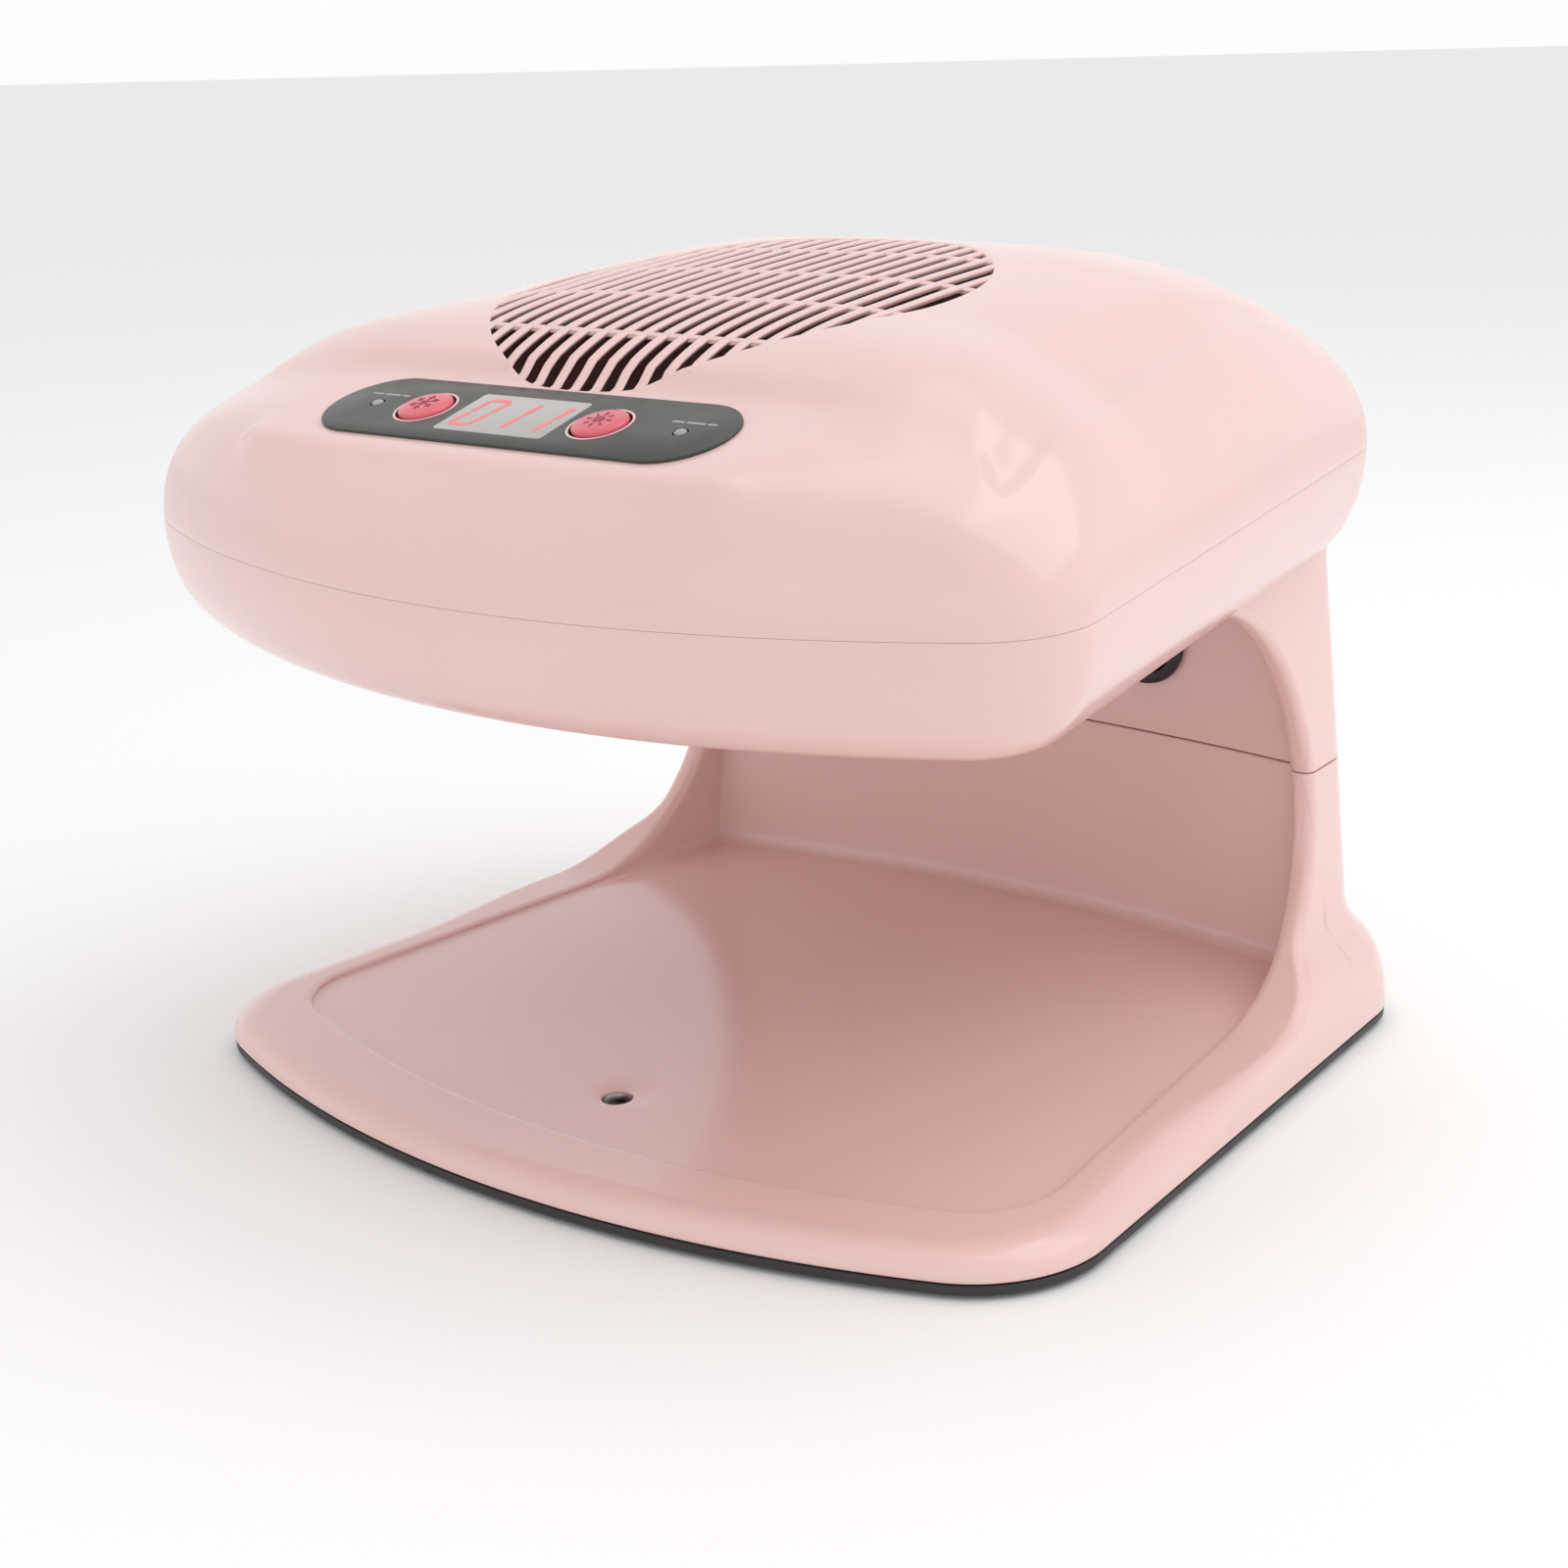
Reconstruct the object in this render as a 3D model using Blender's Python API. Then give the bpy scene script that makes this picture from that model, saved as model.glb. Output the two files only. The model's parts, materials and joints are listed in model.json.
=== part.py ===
"""Desktop warm and cool air nail dryer with a C-shaped body, digital panel and hand sensor.

Metres, +Z up, front faces -Y, X is the width. The pieces are drawn round a working axis in the
middle of the base, and the last loop moves them all by CENTRE_Y, so that the finished part
stands on the ground with the centre of its box over the origin.
"""

import math

import bpy
import bmesh
import numpy as np
from mathutils import Matrix, Vector

# ---------------------------------------------------------------- driving dimensions
GAP = 0.0003            # clearance between touching pieces
WALL = 0.0024           # moulded wall thickness
COUNT = 72              # points round each plan outline
CENTRE_Y = -0.0053      # final move of every piece, which centres the box front to back

# base footprint
BASE_HALF = 0.112       # half width at y = 0
BASE_TAPER = 0.09       # narrowing toward the rear
BASE_FRONT = -0.0995
BASE_REAR = 0.117
BASE_FRONT_R = 0.262    # front edge arc
BASE_REAR_R = 0.42
BASE_FRONT_FILLET = 0.029
BASE_REAR_FILLET = 0.021
PLATE_BOTTOM = 0.0009
PLATE_TOP = 0.0031
TRAY_Z0 = 0.0125        # tray height at y = 0
TRAY_SLOPE = 0.040      # tray rises toward the rear
TRAY_EDGE = 0.0150      # width of the rounded tray edge
DISH_DEPTH = 0.0016

# column
COL_SIDE_LOW = 0.0098   # side inset from the footprint at the foot of the column
COL_SIDE_MID = 0.0140
COL_SIDE_TOP = 0.0195
COL_REAR_IN = 0.0070
COL_WALL = 0.0045       # thickness of the side cheeks
SEAM_Z = 0.0625         # joint between base moulding and head moulding
CUT_Y = 0.031           # centre of the C-shaped cut in the cheeks
CUT_DEPTH = 0.0455
BACK_Y = 0.090          # inner face of the rear wall at x = 0
BACK_R = 0.45

# head
HEAD_HALF = 0.1093
HEAD_TAPER = 0.165
HEAD_FRONT = -0.1064
HEAD_REAR = 0.116
HEAD_FRONT_R = 0.238
HEAD_REAR_R = 0.40
HEAD_FRONT_FILLET = 0.021
HEAD_REAR_FILLET = 0.026
PART_Z = 0.130          # parting plane height at y = 0
HEAD_SLOPE = 0.050
PAN_DEPTH = 0.0250      # parting plane down to the underside
PAN_INSET = 0.0147
CROWN_SIDE_POWER = 3.4
CROWN_EDGE_POWER = 2.1
CROWN = (               # centre line of the cover: (y, height over the parting plane)
    (-0.1064, 0.0), (-0.1050, 0.0080), (-0.1000, 0.0172), (-0.0940, 0.0240),
    (-0.0900, 0.0270), (-0.0640, 0.0337), (-0.0560, 0.0385), (-0.0450, 0.0425),
    (-0.0200, 0.0460), (0.0100, 0.0480), (0.0380, 0.0490), (0.0600, 0.0465),
    (0.0800, 0.0410), (0.0960, 0.0320), (0.1070, 0.0210), (0.1130, 0.0110), (0.1160, 0.0),
)

# air grille and fan
FAN_Y = -0.010
GRILLE_R = 0.054
SLOT_COUNT = 20
SLOT_PITCH = 0.0053
SLOT_WIDTH = 0.0025
RIB_ROWS = (-0.036, -0.012, 0.012, 0.036)
FAN_SIZE = 0.110
FAN_BORE = 0.0520
FAN_BOTTOM = 0.1215
FAN_TOP = 0.1455
ROTOR_R = 0.0495
HUB_R = 0.0185
BLADES = 7
OUTLET_R = 0.0500

# control panel
PANEL_Y = -0.077
PANEL_Z = 0.1563
PANEL_TILT = 0.2915     # radians, rising toward the rear
PANEL_HALF_LONG = 0.0520
PANEL_HALF_WIDE = 0.0124
PANEL_THICK = 0.0010
WINDOW_X = -0.0026
WINDOW_HALF = (0.0145, 0.0082)
HOT_X = 0.0206
COOL_X = -0.0265
BUTTON_R = 0.0060
BUTTON_TRAVEL = 0.0006
LED_X = (-0.0405, 0.0405)

# round rocker switch on the inner rear wall
SWITCH_X = 0.041
SWITCH_Z = 0.0860
SWITCH_R = 0.0112
ROCKER_TILT = 0.14      # radians each way

# sensor in the tray
SENSOR_Y = -0.0590
SENSOR_R = 0.0031

SCENE = bpy.context.scene
for old in list(bpy.data.objects):
    bpy.data.objects.remove(old, do_unlink=True)

PARTS = bpy.data.collections.new("nail_dryer")
CUTTERS = bpy.data.collections.new("cutters")
SCENE.collection.children.link(PARTS)
SCENE.collection.children.link(CUTTERS)

MATERIALS = {
    "pink_abs": ((0.86, 0.56, 0.54), 0.18, 0.0),
    "black_abs": ((0.018, 0.017, 0.017), 0.45, 0.0),
    "black_rubber": ((0.025, 0.025, 0.025), 0.85, 0.0),
    "panel_film": ((0.062, 0.070, 0.062), 0.22, 0.0),
    "smoke_window": ((0.42, 0.40, 0.40), 0.10, 0.0),
    "red_button": ((0.80, 0.14, 0.19), 0.25, 0.0),
    "red_segments": ((0.90, 0.10, 0.12), 0.30, 0.0),
    "grey_lens": ((0.40, 0.42, 0.40), 0.20, 0.0),
    "sensor_lens": ((0.012, 0.010, 0.014), 0.08, 0.0),
    "green_board": ((0.030, 0.180, 0.070), 0.40, 0.0),
    "white_nylon": ((0.75, 0.74, 0.70), 0.45, 0.0),
    "zinc_steel": ((0.60, 0.60, 0.60), 0.30, 1.0),
    "heater_wire": ((0.45, 0.40, 0.36), 0.40, 1.0),
    "mica_sheet": ((0.62, 0.52, 0.36), 0.55, 0.0),
    "copper_tape": ((0.72, 0.36, 0.16), 0.35, 1.0),
    "capacitor_sleeve": ((0.02, 0.03, 0.10), 0.35, 0.0),
    "relay_blue": ((0.03, 0.12, 0.42), 0.40, 0.0),
}


def material(name):
    """One Principled material for one object."""
    colour, rough, metal = MATERIALS[name.split(".")[0]]
    mat = bpy.data.materials.new(name)
    mat.use_nodes = True
    shader = mat.node_tree.nodes["Principled BSDF"]
    shader.inputs["Base Color"].default_value = (*colour, 1.0)
    shader.inputs["Roughness"].default_value = rough
    shader.inputs["Metallic"].default_value = metal
    return mat


def add_mesh(name, mesh, collection):
    """Link a mesh as an object."""
    obj = bpy.data.objects.new(name, mesh)
    collection.objects.link(obj)
    if collection is CUTTERS:
        obj.hide_render = True
        obj.display_type = "WIRE"
    return obj


def from_bmesh(name, bm, collection):
    """Turn an edit mesh into an object with outward normals."""
    bmesh.ops.recalc_face_normals(bm, faces=bm.faces)
    mesh = bpy.data.meshes.new(name)
    bm.to_mesh(mesh)
    bm.free()
    return add_mesh(name, mesh, collection)


def cutter_box(name, size, centre, matrix=None):
    """Axis-aligned box, optionally placed by a matrix."""
    bm = bmesh.new()
    bmesh.ops.create_cube(bm, size=1.0)
    bmesh.ops.scale(bm, vec=size, verts=bm.verts)
    bmesh.ops.translate(bm, vec=centre, verts=bm.verts)
    if matrix is not None:
        bmesh.ops.transform(bm, matrix=matrix, verts=bm.verts)
    return from_bmesh(name, bm, CUTTERS)


def cylinder_mesh(radius, z_low, z_high, count=32, radius_top=None):
    """Upright cylinder or cone as an edit mesh."""
    bm = bmesh.new()
    bmesh.ops.create_cone(
        bm, cap_ends=True, segments=count, radius1=radius,
        radius2=radius if radius_top is None else radius_top, depth=z_high - z_low,
    )
    bmesh.ops.translate(bm, vec=(0, 0, 0.5 * (z_low + z_high)), verts=bm.verts)
    return bm


def cylinder(name, radius, z_low, z_high, matrix, collection, count=32, radius_top=None):
    """Upright cylinder in its own space, placed by a matrix."""
    bm = cylinder_mesh(radius, z_low, z_high, count, radius_top)
    bmesh.ops.transform(bm, matrix=matrix, verts=bm.verts)
    return from_bmesh(name, bm, collection)


def lathe(name, profile, matrix, collection, count=40):
    """Closed solid turned from (radius, z) points that run from axis to axis or in a loop."""
    bm = bmesh.new()
    rings = []
    for radius, z in profile:
        if radius < 1e-6:
            rings.append([bm.verts.new((0, 0, z))])
            continue
        ring = []
        for step in range(count):
            angle = 2 * math.pi * step / count
            ring.append(bm.verts.new((radius * math.cos(angle), radius * math.sin(angle), z)))
        rings.append(ring)
    pairs = list(zip(rings, rings[1:]))
    if len(rings[0]) > 1:
        pairs.append((rings[-1], rings[0]))
    for low, high in pairs:
        for step in range(count):
            after = (step + 1) % count
            if len(low) == 1:
                bm.faces.new((low[0], high[step], high[after]))
            elif len(high) == 1:
                bm.faces.new((low[step], low[after], high[0]))
            else:
                bm.faces.new((low[step], low[after], high[after], high[step]))
    bmesh.ops.transform(bm, matrix=matrix, verts=bm.verts)
    return from_bmesh(name, bm, collection)


def loft(name, rings, collection):
    """Closed solid through equal rings of points with flat ends."""
    bm = bmesh.new()
    layers = [[bm.verts.new(point) for point in ring] for ring in rings]
    count = len(layers[0])
    for low, high in zip(layers, layers[1:]):
        for step in range(count):
            after = (step + 1) % count
            bm.faces.new((low[step], low[after], high[after], high[step]))
    bm.faces.new(list(reversed(layers[0])))
    bm.faces.new(layers[-1])
    bmesh.ops.triangulate(bm, faces=bm.faces)
    return from_bmesh(name, bm, collection)


def prism(name, outline, x_low, x_high, collection):
    """Solid extruded along X from a (y, z) outline."""
    rings = [[(x, y, z) for y, z in outline] for x in (x_low, x_high)]
    return loft(name, rings, collection)


def stadium(half_long, half_wide, steps=10):
    """Outline (x, y) with half-round ends."""
    points = []
    flat = half_long - half_wide
    for side, start in ((1, -90), (-1, 90)):
        for step in range(steps + 1):
            angle = math.radians(start + 180 * step / steps)
            points.append((side * flat + half_wide * math.cos(angle), half_wide * math.sin(angle)))
    return points


def rounded_rect(half_x, half_y, radius, steps=4):
    """Outline (x, y) of a rectangle with rounded corners."""
    points = []
    for corner in range(4):
        sx = 1 if corner in (0, 3) else -1
        sy = 1 if corner in (0, 1) else -1
        for step in range(steps + 1):
            angle = math.radians(90 * corner + 90 * step / steps)
            points.append((
                sx * (half_x - radius) + radius * math.cos(angle),
                sy * (half_y - radius) + radius * math.sin(angle),
            ))
    return points


def slab(name, outline, z_low, z_high, matrix, collection):
    """Flat piece from an (x, y) outline, placed by a matrix."""
    rings = [[matrix @ Vector((x, y, z)) for x, y in outline] for z in (z_low, z_high)]
    return loft(name, rings, collection)


def join(name, objects, collection):
    """Put separate bodies into one cutter mesh."""
    bm = bmesh.new()
    for obj in objects:
        bm.from_mesh(obj.data)
        bpy.data.objects.remove(obj, do_unlink=True)
    mesh = bpy.data.meshes.new(name)
    bm.to_mesh(mesh)
    bm.free()
    return add_mesh(name, mesh, collection)


def boolean(target, other, operation="DIFFERENCE"):
    """Apply one exact Boolean and drop the cutter."""
    modifier = target.modifiers.new("cut", "BOOLEAN")
    modifier.object = other
    modifier.operation = operation
    modifier.solver = "EXACT"
    apply_modifiers(target)
    bpy.data.objects.remove(other, do_unlink=True)


def apply_modifiers(obj):
    """Bake the modifier stack into the mesh."""
    bpy.context.view_layer.update()
    graph = bpy.context.evaluated_depsgraph_get()
    mesh = bpy.data.meshes.new_from_object(obj.evaluated_get(graph))
    obj.modifiers.clear()
    obj.data = mesh


def weld(obj, distance=0.00002):
    """Merge doubled points left by Booleans and drop zero-size faces."""
    bm = bmesh.new()
    bm.from_mesh(obj.data)
    bmesh.ops.remove_doubles(bm, verts=bm.verts, dist=distance)
    bmesh.ops.dissolve_degenerate(bm, edges=bm.edges, dist=distance)
    bmesh.ops.recalc_face_normals(bm, faces=bm.faces)
    bm.to_mesh(obj.data)
    bm.free()


def simplify(obj, degrees):
    """Merge neighbouring faces that are nearly in one plane."""
    bm = bmesh.new()
    bm.from_mesh(obj.data)
    bmesh.ops.dissolve_limit(
        bm, angle_limit=math.radians(degrees), use_dissolve_boundaries=False,
        verts=bm.verts, edges=bm.edges,
    )
    bmesh.ops.triangulate(bm, faces=bm.faces)
    bm.to_mesh(obj.data)
    bm.free()


def finish(obj, name, slot, smooth=True, origin=None):
    """Name a piece, give it its material and, where it moves, its origin."""
    obj.name = name
    obj.data.name = name
    obj.data.materials.clear()
    obj.data.materials.append(material(slot))
    if obj.name not in PARTS.objects:
        PARTS.objects.link(obj)
        CUTTERS.objects.unlink(obj)
        obj.hide_render = False
        obj.display_type = "TEXTURED"
    if origin is not None:
        obj.data.transform(Matrix.Translation(-Vector(origin)))
        obj.location = origin
    if smooth:
        obj.data.shade_smooth()
    return obj


# ---------------------------------------------------------------- shared shapes
def corner_circle(half, taper, arc_y, arc_r, fillet, front):
    """Centre of the circle that rounds one side edge into the front or rear arc."""
    scale = math.sqrt(1 + taper * taper)
    reach = half / scale - fillet
    base = Vector((reach / scale, reach * taper / scale))
    along = Vector((-taper / scale, 1 / scale))
    delta = base - Vector((0.0, arc_y))
    half_b = along.dot(delta)
    root = math.sqrt(half_b ** 2 - delta.length_squared + (arc_r - fillet) ** 2)
    return base + along * (-half_b - root if front else -half_b + root)


def sweep(centre, radius, start, end, steps):
    """Points on an arc, leaving out the last one."""
    return [
        (centre[0] + radius * math.cos(start + (end - start) * step / steps),
         centre[1] + radius * math.sin(start + (end - start) * step / steps))
        for step in range(steps)
    ]


def plan(half, taper, front, front_r, rear, rear_r, front_fillet, rear_fillet):
    """Plan outline: curved front and rear, straight tapered sides, rounded corners."""
    front_c = (0.0, front + front_r)
    rear_c = (0.0, rear - rear_r)
    low = corner_circle(half, taper, front_c[1], front_r, front_fillet, True)
    high = corner_circle(half, taper, rear_c[1], rear_r, rear_fillet, False)
    side = math.atan(taper)
    low_turn = math.atan2(low[1] - front_c[1], low[0])
    high_turn = math.atan2(high[1] - rear_c[1], high[0])
    right = sweep(front_c, front_r, -math.pi / 2, low_turn, 8)
    right += sweep(low, front_fillet, low_turn, side, 7)
    start = (low[0] + front_fillet * math.cos(side), low[1] + front_fillet * math.sin(side))
    end = (high[0] + rear_fillet * math.cos(side), high[1] + rear_fillet * math.sin(side))
    for step in range(6):
        share = step / 6
        right.append((start[0] + (end[0] - start[0]) * share, start[1] + (end[1] - start[1]) * share))
    right += sweep(high, rear_fillet, side, high_turn, 7)
    right += sweep(rear_c, rear_r, high_turn, math.pi / 2, COUNT // 2 - 28)
    left = [(-x, y) for x, y in right[1:]]
    return right + [(0.0, rear)] + list(reversed(left))


def base_plan(side, rear, front):
    """Base footprint pulled in by separate side, rear and front insets."""
    return plan(
        BASE_HALF - side, BASE_TAPER, BASE_FRONT + front, BASE_FRONT_R - front,
        BASE_REAR - rear, BASE_REAR_R - rear,
        max(BASE_FRONT_FILLET - side, 0.004), max(BASE_REAR_FILLET - 0.5 * side, 0.004),
    )


def head_plan(inset):
    """Head outline at the parting plane pulled in all round."""
    return plan(
        HEAD_HALF - inset, HEAD_TAPER, HEAD_FRONT + inset, HEAD_FRONT_R - inset,
        HEAD_REAR - inset, HEAD_REAR_R - inset,
        HEAD_FRONT_FILLET - 0.6 * inset, HEAD_REAR_FILLET - 0.6 * inset,
    )


def tray_z(y):
    """Height of the tray rim."""
    return TRAY_Z0 + TRAY_SLOPE * y


def part_z(y):
    """Height of the parting plane of the head."""
    return PART_Z + HEAD_SLOPE * y


def under_z(y):
    """Height of the head's underside."""
    return part_z(y) - PAN_DEPTH


def at_height(outline, height):
    """Lift a plan outline to a constant or a y-dependent height."""
    if callable(height):
        return [(x, y, height(y)) for x, y in outline]
    return [(x, y, height) for x, y in outline]


def smooth_slopes(points):
    """Slopes of a monotone curve through the points."""
    xs = [p[0] for p in points]
    ys = [p[1] for p in points]
    steps = [(ys[i + 1] - ys[i]) / (xs[i + 1] - xs[i]) for i in range(len(xs) - 1)]
    slopes = [steps[0]]
    for i in range(1, len(xs) - 1):
        if steps[i - 1] * steps[i] <= 0:
            slopes.append(0.0)
        else:
            slopes.append(2 * steps[i - 1] * steps[i] / (steps[i - 1] + steps[i]))
    slopes.append(steps[-1])
    return xs, ys, slopes


CROWN_CURVE = smooth_slopes(CROWN)


def crown(y):
    """Height of the cover's centre line over the parting plane."""
    xs, ys, slopes = CROWN_CURVE
    y = min(max(y, xs[0]), xs[-1])
    i = max(0, min(len(xs) - 2, int(np.searchsorted(xs, y)) - 1))
    span = xs[i + 1] - xs[i]
    t = (y - xs[i]) / span
    return (
        (2 * t ** 3 - 3 * t ** 2 + 1) * ys[i] + (t ** 3 - 2 * t ** 2 + t) * span * slopes[i]
        + (3 * t ** 2 - 2 * t ** 3) * ys[i + 1] + (t ** 3 - t ** 2) * span * slopes[i + 1]
    )


HEAD_EDGE = sorted((y, x) for x, y in head_plan(0.0) if x > 0)
HEAD_EDGE_Y = [p[0] for p in HEAD_EDGE]
HEAD_EDGE_X = [p[1] for p in HEAD_EDGE]


def cover_z(x, y):
    """Outer surface of the cover."""
    half = float(np.interp(y, HEAD_EDGE_Y, HEAD_EDGE_X))
    across = min(abs(x) / half, 1.0)
    fall = (1 - across ** CROWN_SIDE_POWER) ** (1 / CROWN_EDGE_POWER)
    return part_z(y) + crown(y) * fall


PANEL_MATRIX = Matrix.Translation((0, PANEL_Y, PANEL_Z)) @ Matrix.Rotation(PANEL_TILT, 4, "X")
OUTLET_TILT = math.atan(HEAD_SLOPE)
OUTLET_MATRIX = Matrix.Translation((0, FAN_Y, under_z(FAN_Y))) @ Matrix.Rotation(OUTLET_TILT, 4, "X")
PANEL_NORMAL = PANEL_MATRIX.to_3x3() @ Vector((0, 0, 1))

# position and facing of the rocker switch on the curved rear wall
SWITCH_TURN = math.asin(SWITCH_X / BACK_R)
SWITCH_Y = BACK_Y - BACK_R * (1 - math.cos(SWITCH_TURN))
SWITCH_MATRIX = (
    Matrix.Translation((SWITCH_X, SWITCH_Y, SWITCH_Z))
    @ Matrix.Rotation(-SWITCH_TURN, 4, "Z")
    @ Matrix.Rotation(math.radians(90), 4, "X")
)


def body_rings(z_low, z_high):
    """Outer skin of base and column between two heights."""
    rings = []
    if z_low < TRAY_Z0:
        rings.append(at_height(base_plan(0.0006, 0.0006, 0.0006), PLATE_TOP + GAP))
        rings.append(at_height(base_plan(0.0, 0.0, 0.0), PLATE_TOP + 0.0012))
        for degrees in (18, 36, 54, 72, 86):
            turn = math.radians(degrees)
            inset = TRAY_EDGE * (1 - math.cos(turn))
            share = math.sin(turn)
            side = min(inset, COL_SIDE_LOW * (1 - math.cos(turn)))
            rear = COL_REAR_IN * (1 - math.cos(turn))
            low = PLATE_TOP + 0.0012
            rings.append([
                (x, y, low + (tray_z(y) + 0.004 - low) * share)
                for x, y in base_plan(side, rear, inset * 0.5)
            ])
        rings.append(at_height(base_plan(COL_SIDE_LOW, COL_REAR_IN, 0.012), 0.0235))
    else:
        rings.append(at_height(base_plan(COL_SIDE_MID, COL_REAR_IN + 0.0005, 0.02), z_low))
    if z_high > SEAM_Z + 0.001:
        rings.append(at_height(base_plan(COL_SIDE_TOP, COL_REAR_IN + 0.0010, 0.03), 0.108))
        rings.append(at_height(base_plan(COL_SIDE_TOP, COL_REAR_IN + 0.0010, 0.03), z_high))
    else:
        rings.append(at_height(base_plan(COL_SIDE_MID, COL_REAR_IN + 0.0005, 0.02), z_high))
    return rings


def hand_space(name):
    """Side-to-side C-shaped opening in front of the column."""
    low = tray_z(CUT_Y)
    high = under_z(CUT_Y)
    middle = 0.5 * (low + high)
    outline = [(-0.16, tray_z(-0.16))]
    for step in range(17):
        angle = math.radians(-90 + 180 * step / 16)
        outline.append((
            CUT_Y + CUT_DEPTH * math.cos(angle),
            middle + 0.5 * (high - low) * math.sin(angle),
        ))
    outline.append((-0.16, under_z(-0.16)))
    return prism(name, outline, -0.16, 0.16, CUTTERS)


def side_inset(z):
    """How far the outer face of the cheeks stands in from the footprint."""
    return float(np.interp(
        z, (0.0235, SEAM_Z, 0.108), (COL_SIDE_LOW, COL_SIDE_MID, COL_SIDE_TOP)))


def inner_space(name, z_low, z_high):
    """Space between the cheeks, in front of the rear wall."""
    rings = []
    low = z_low if not callable(z_low) else z_low(0.0)
    high = z_high if not callable(z_high) else z_high(0.0)
    levels = [(z_low, low)]
    levels += [(z, z) for z in (0.0235, SEAM_Z) if low < z < high]
    levels += [(z_high, high)]
    for height, z in levels:
        outline = plan(
            BASE_HALF - side_inset(z) - COL_WALL, BASE_TAPER + 0.02, -0.0800, BASE_FRONT_R,
            BACK_Y, BACK_R, 0.020, 0.0012,
        )
        rings.append(at_height(outline, height))
    return loft(name, rings, CUTTERS)


# ---------------------------------------------------------------- base
plate = loft("base_plate", [
    at_height(base_plan(0.0014, 0.0014, 0.0014), PLATE_BOTTOM),
    at_height(base_plan(0.0002, 0.0002, 0.0002), PLATE_BOTTOM + 0.0008),
    at_height(base_plan(0.0002, 0.0002, 0.0002), PLATE_TOP),
], PARTS)

FEET = ((-0.085, -0.062), (0.085, -0.062), (-0.078, 0.088), (0.078, 0.088))
FOOT_R = 0.0075
for index, (x, y) in enumerate(FEET):
    place = Matrix.Translation((x, y, 0))
    boolean(plate, cylinder("pocket", FOOT_R + GAP, -0.001, 0.0019 + GAP, place, CUTTERS, 20))
    foot = lathe("foot", [
        (0, 0), (FOOT_R - 0.0008, 0), (FOOT_R, 0.0007), (FOOT_R, 0.0019), (0, 0.0019),
    ], place, PARTS, 20)
    finish(foot, f"foot_{index + 1}", "black_rubber")

base = loft("base_shell", body_rings(0.0, SEAM_Z - GAP / 2), PARTS)
boolean(base, hand_space("hand"))
boolean(base, inner_space("space", lambda y: tray_z(y) - DISH_DEPTH, 0.075))

# hollow under the tray, then the wiring duct up the rear wall
cavity = loft("cavity", [
    at_height(base_plan(WALL, WALL, WALL), 0.0),
    at_height(base_plan(WALL, WALL, WALL), PLATE_TOP + 0.0012),
    [(x, y, max(tray_z(y) - DISH_DEPTH - WALL, PLATE_TOP + 0.0016))
     for x, y in base_plan(0.0075, 0.0065, 0.0065)],
], CUTTERS)
boolean(base, cavity)


def wall_duct(name, z_low, z_high):
    """Curved slot inside the rear wall."""
    inner = []
    outer = []
    for step in range(13):
        x = -0.066 + 0.132 * step / 12
        inner.append((x, BACK_Y + WALL - BACK_R + math.sqrt(BACK_R ** 2 - x * x)))
        outer_r = BASE_REAR_R - COL_REAR_IN
        edge = BASE_REAR - COL_REAR_IN - 0.0010 - WALL
        outer.append((x, edge - outer_r + math.sqrt(outer_r ** 2 - x * x)))
    outline = inner + list(reversed(outer))
    return loft(name, [at_height(outline, z_low), at_height(outline, z_high)], CUTTERS)


boolean(base, wall_duct("duct", 0.0045, 0.075))

# sensor hole, screw posts and the mains inlet opening
boolean(base, cylinder(
    "hole", SENSOR_R + GAP, 0.002, 0.02, Matrix.Translation((0, SENSOR_Y, 0)), CUTTERS, 24))
BASE_SCREWS = ((-0.088, -0.030), (0.088, -0.030), (-0.074, 0.076), (0.074, 0.076))
SCREW_R = 0.0014
SCREW_HEAD_Z = 0.0010
POST_ROOF = 0.0004      # from the top of a post up to the tray surface
PILOT_ROOF = 0.0012     # plastic left over a screw's pilot hole
for x, y in BASE_SCREWS:
    place = Matrix.Translation((x, y, 0))
    top = tray_z(y) - DISH_DEPTH - POST_ROOF
    boolean(base, cylinder("post", 0.0034, PLATE_TOP + GAP, top, place, CUTTERS, 20), "UNION")
    boolean(base, cylinder("pilot", SCREW_R + GAP, 0.0, top - PILOT_ROOF, place, CUTTERS, 16))
    boolean(plate, cylinder("clear", SCREW_R + GAP, 0.0, 0.01, place, CUTTERS, 10))
    boolean(plate, cylinder("sink", 0.0030, 0.0, 0.0020, place, CUTTERS, 12))

INLET_Z = 0.0118
INLET_HALF = (0.0105, 0.0060)
INLET_FACE = BASE_REAR - 0.0004
INLET_MATRIX = Matrix.Translation((0, INLET_FACE, INLET_Z)) @ Matrix.Rotation(math.radians(90), 4, "X")
boolean(base, slab(
    "inlet_hole", stadium(INLET_HALF[0] + GAP, INLET_HALF[1] + GAP, 8), -0.012, 0.016,
    INLET_MATRIX, CUTTERS))
weld(base)
simplify(base, 0.7)
weld(plate)
simplify(plate, 0.5)
finish(plate, "base_plate", "black_abs.plate")
finish(base, "base_shell", "pink_abs.base")

# mains inlet with two pins in a figure-eight recess
inlet = slab("inlet", stadium(INLET_HALF[0], INLET_HALF[1], 8), -0.0004, 0.0120, INLET_MATRIX, PARTS)
boolean(inlet, slab("recess", stadium(0.0082, 0.0038, 8), -0.003, 0.0085, INLET_MATRIX, CUTTERS))
for x in (-0.0043, 0.0043):
    place = INLET_MATRIX @ Matrix.Translation((x, 0, 0))
    boolean(inlet, cylinder("pin", 0.0012, 0.0015, 0.0095, place, CUTTERS, 12), "UNION")
weld(inlet)
finish(inlet, "power_inlet", "black_abs.inlet")

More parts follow.
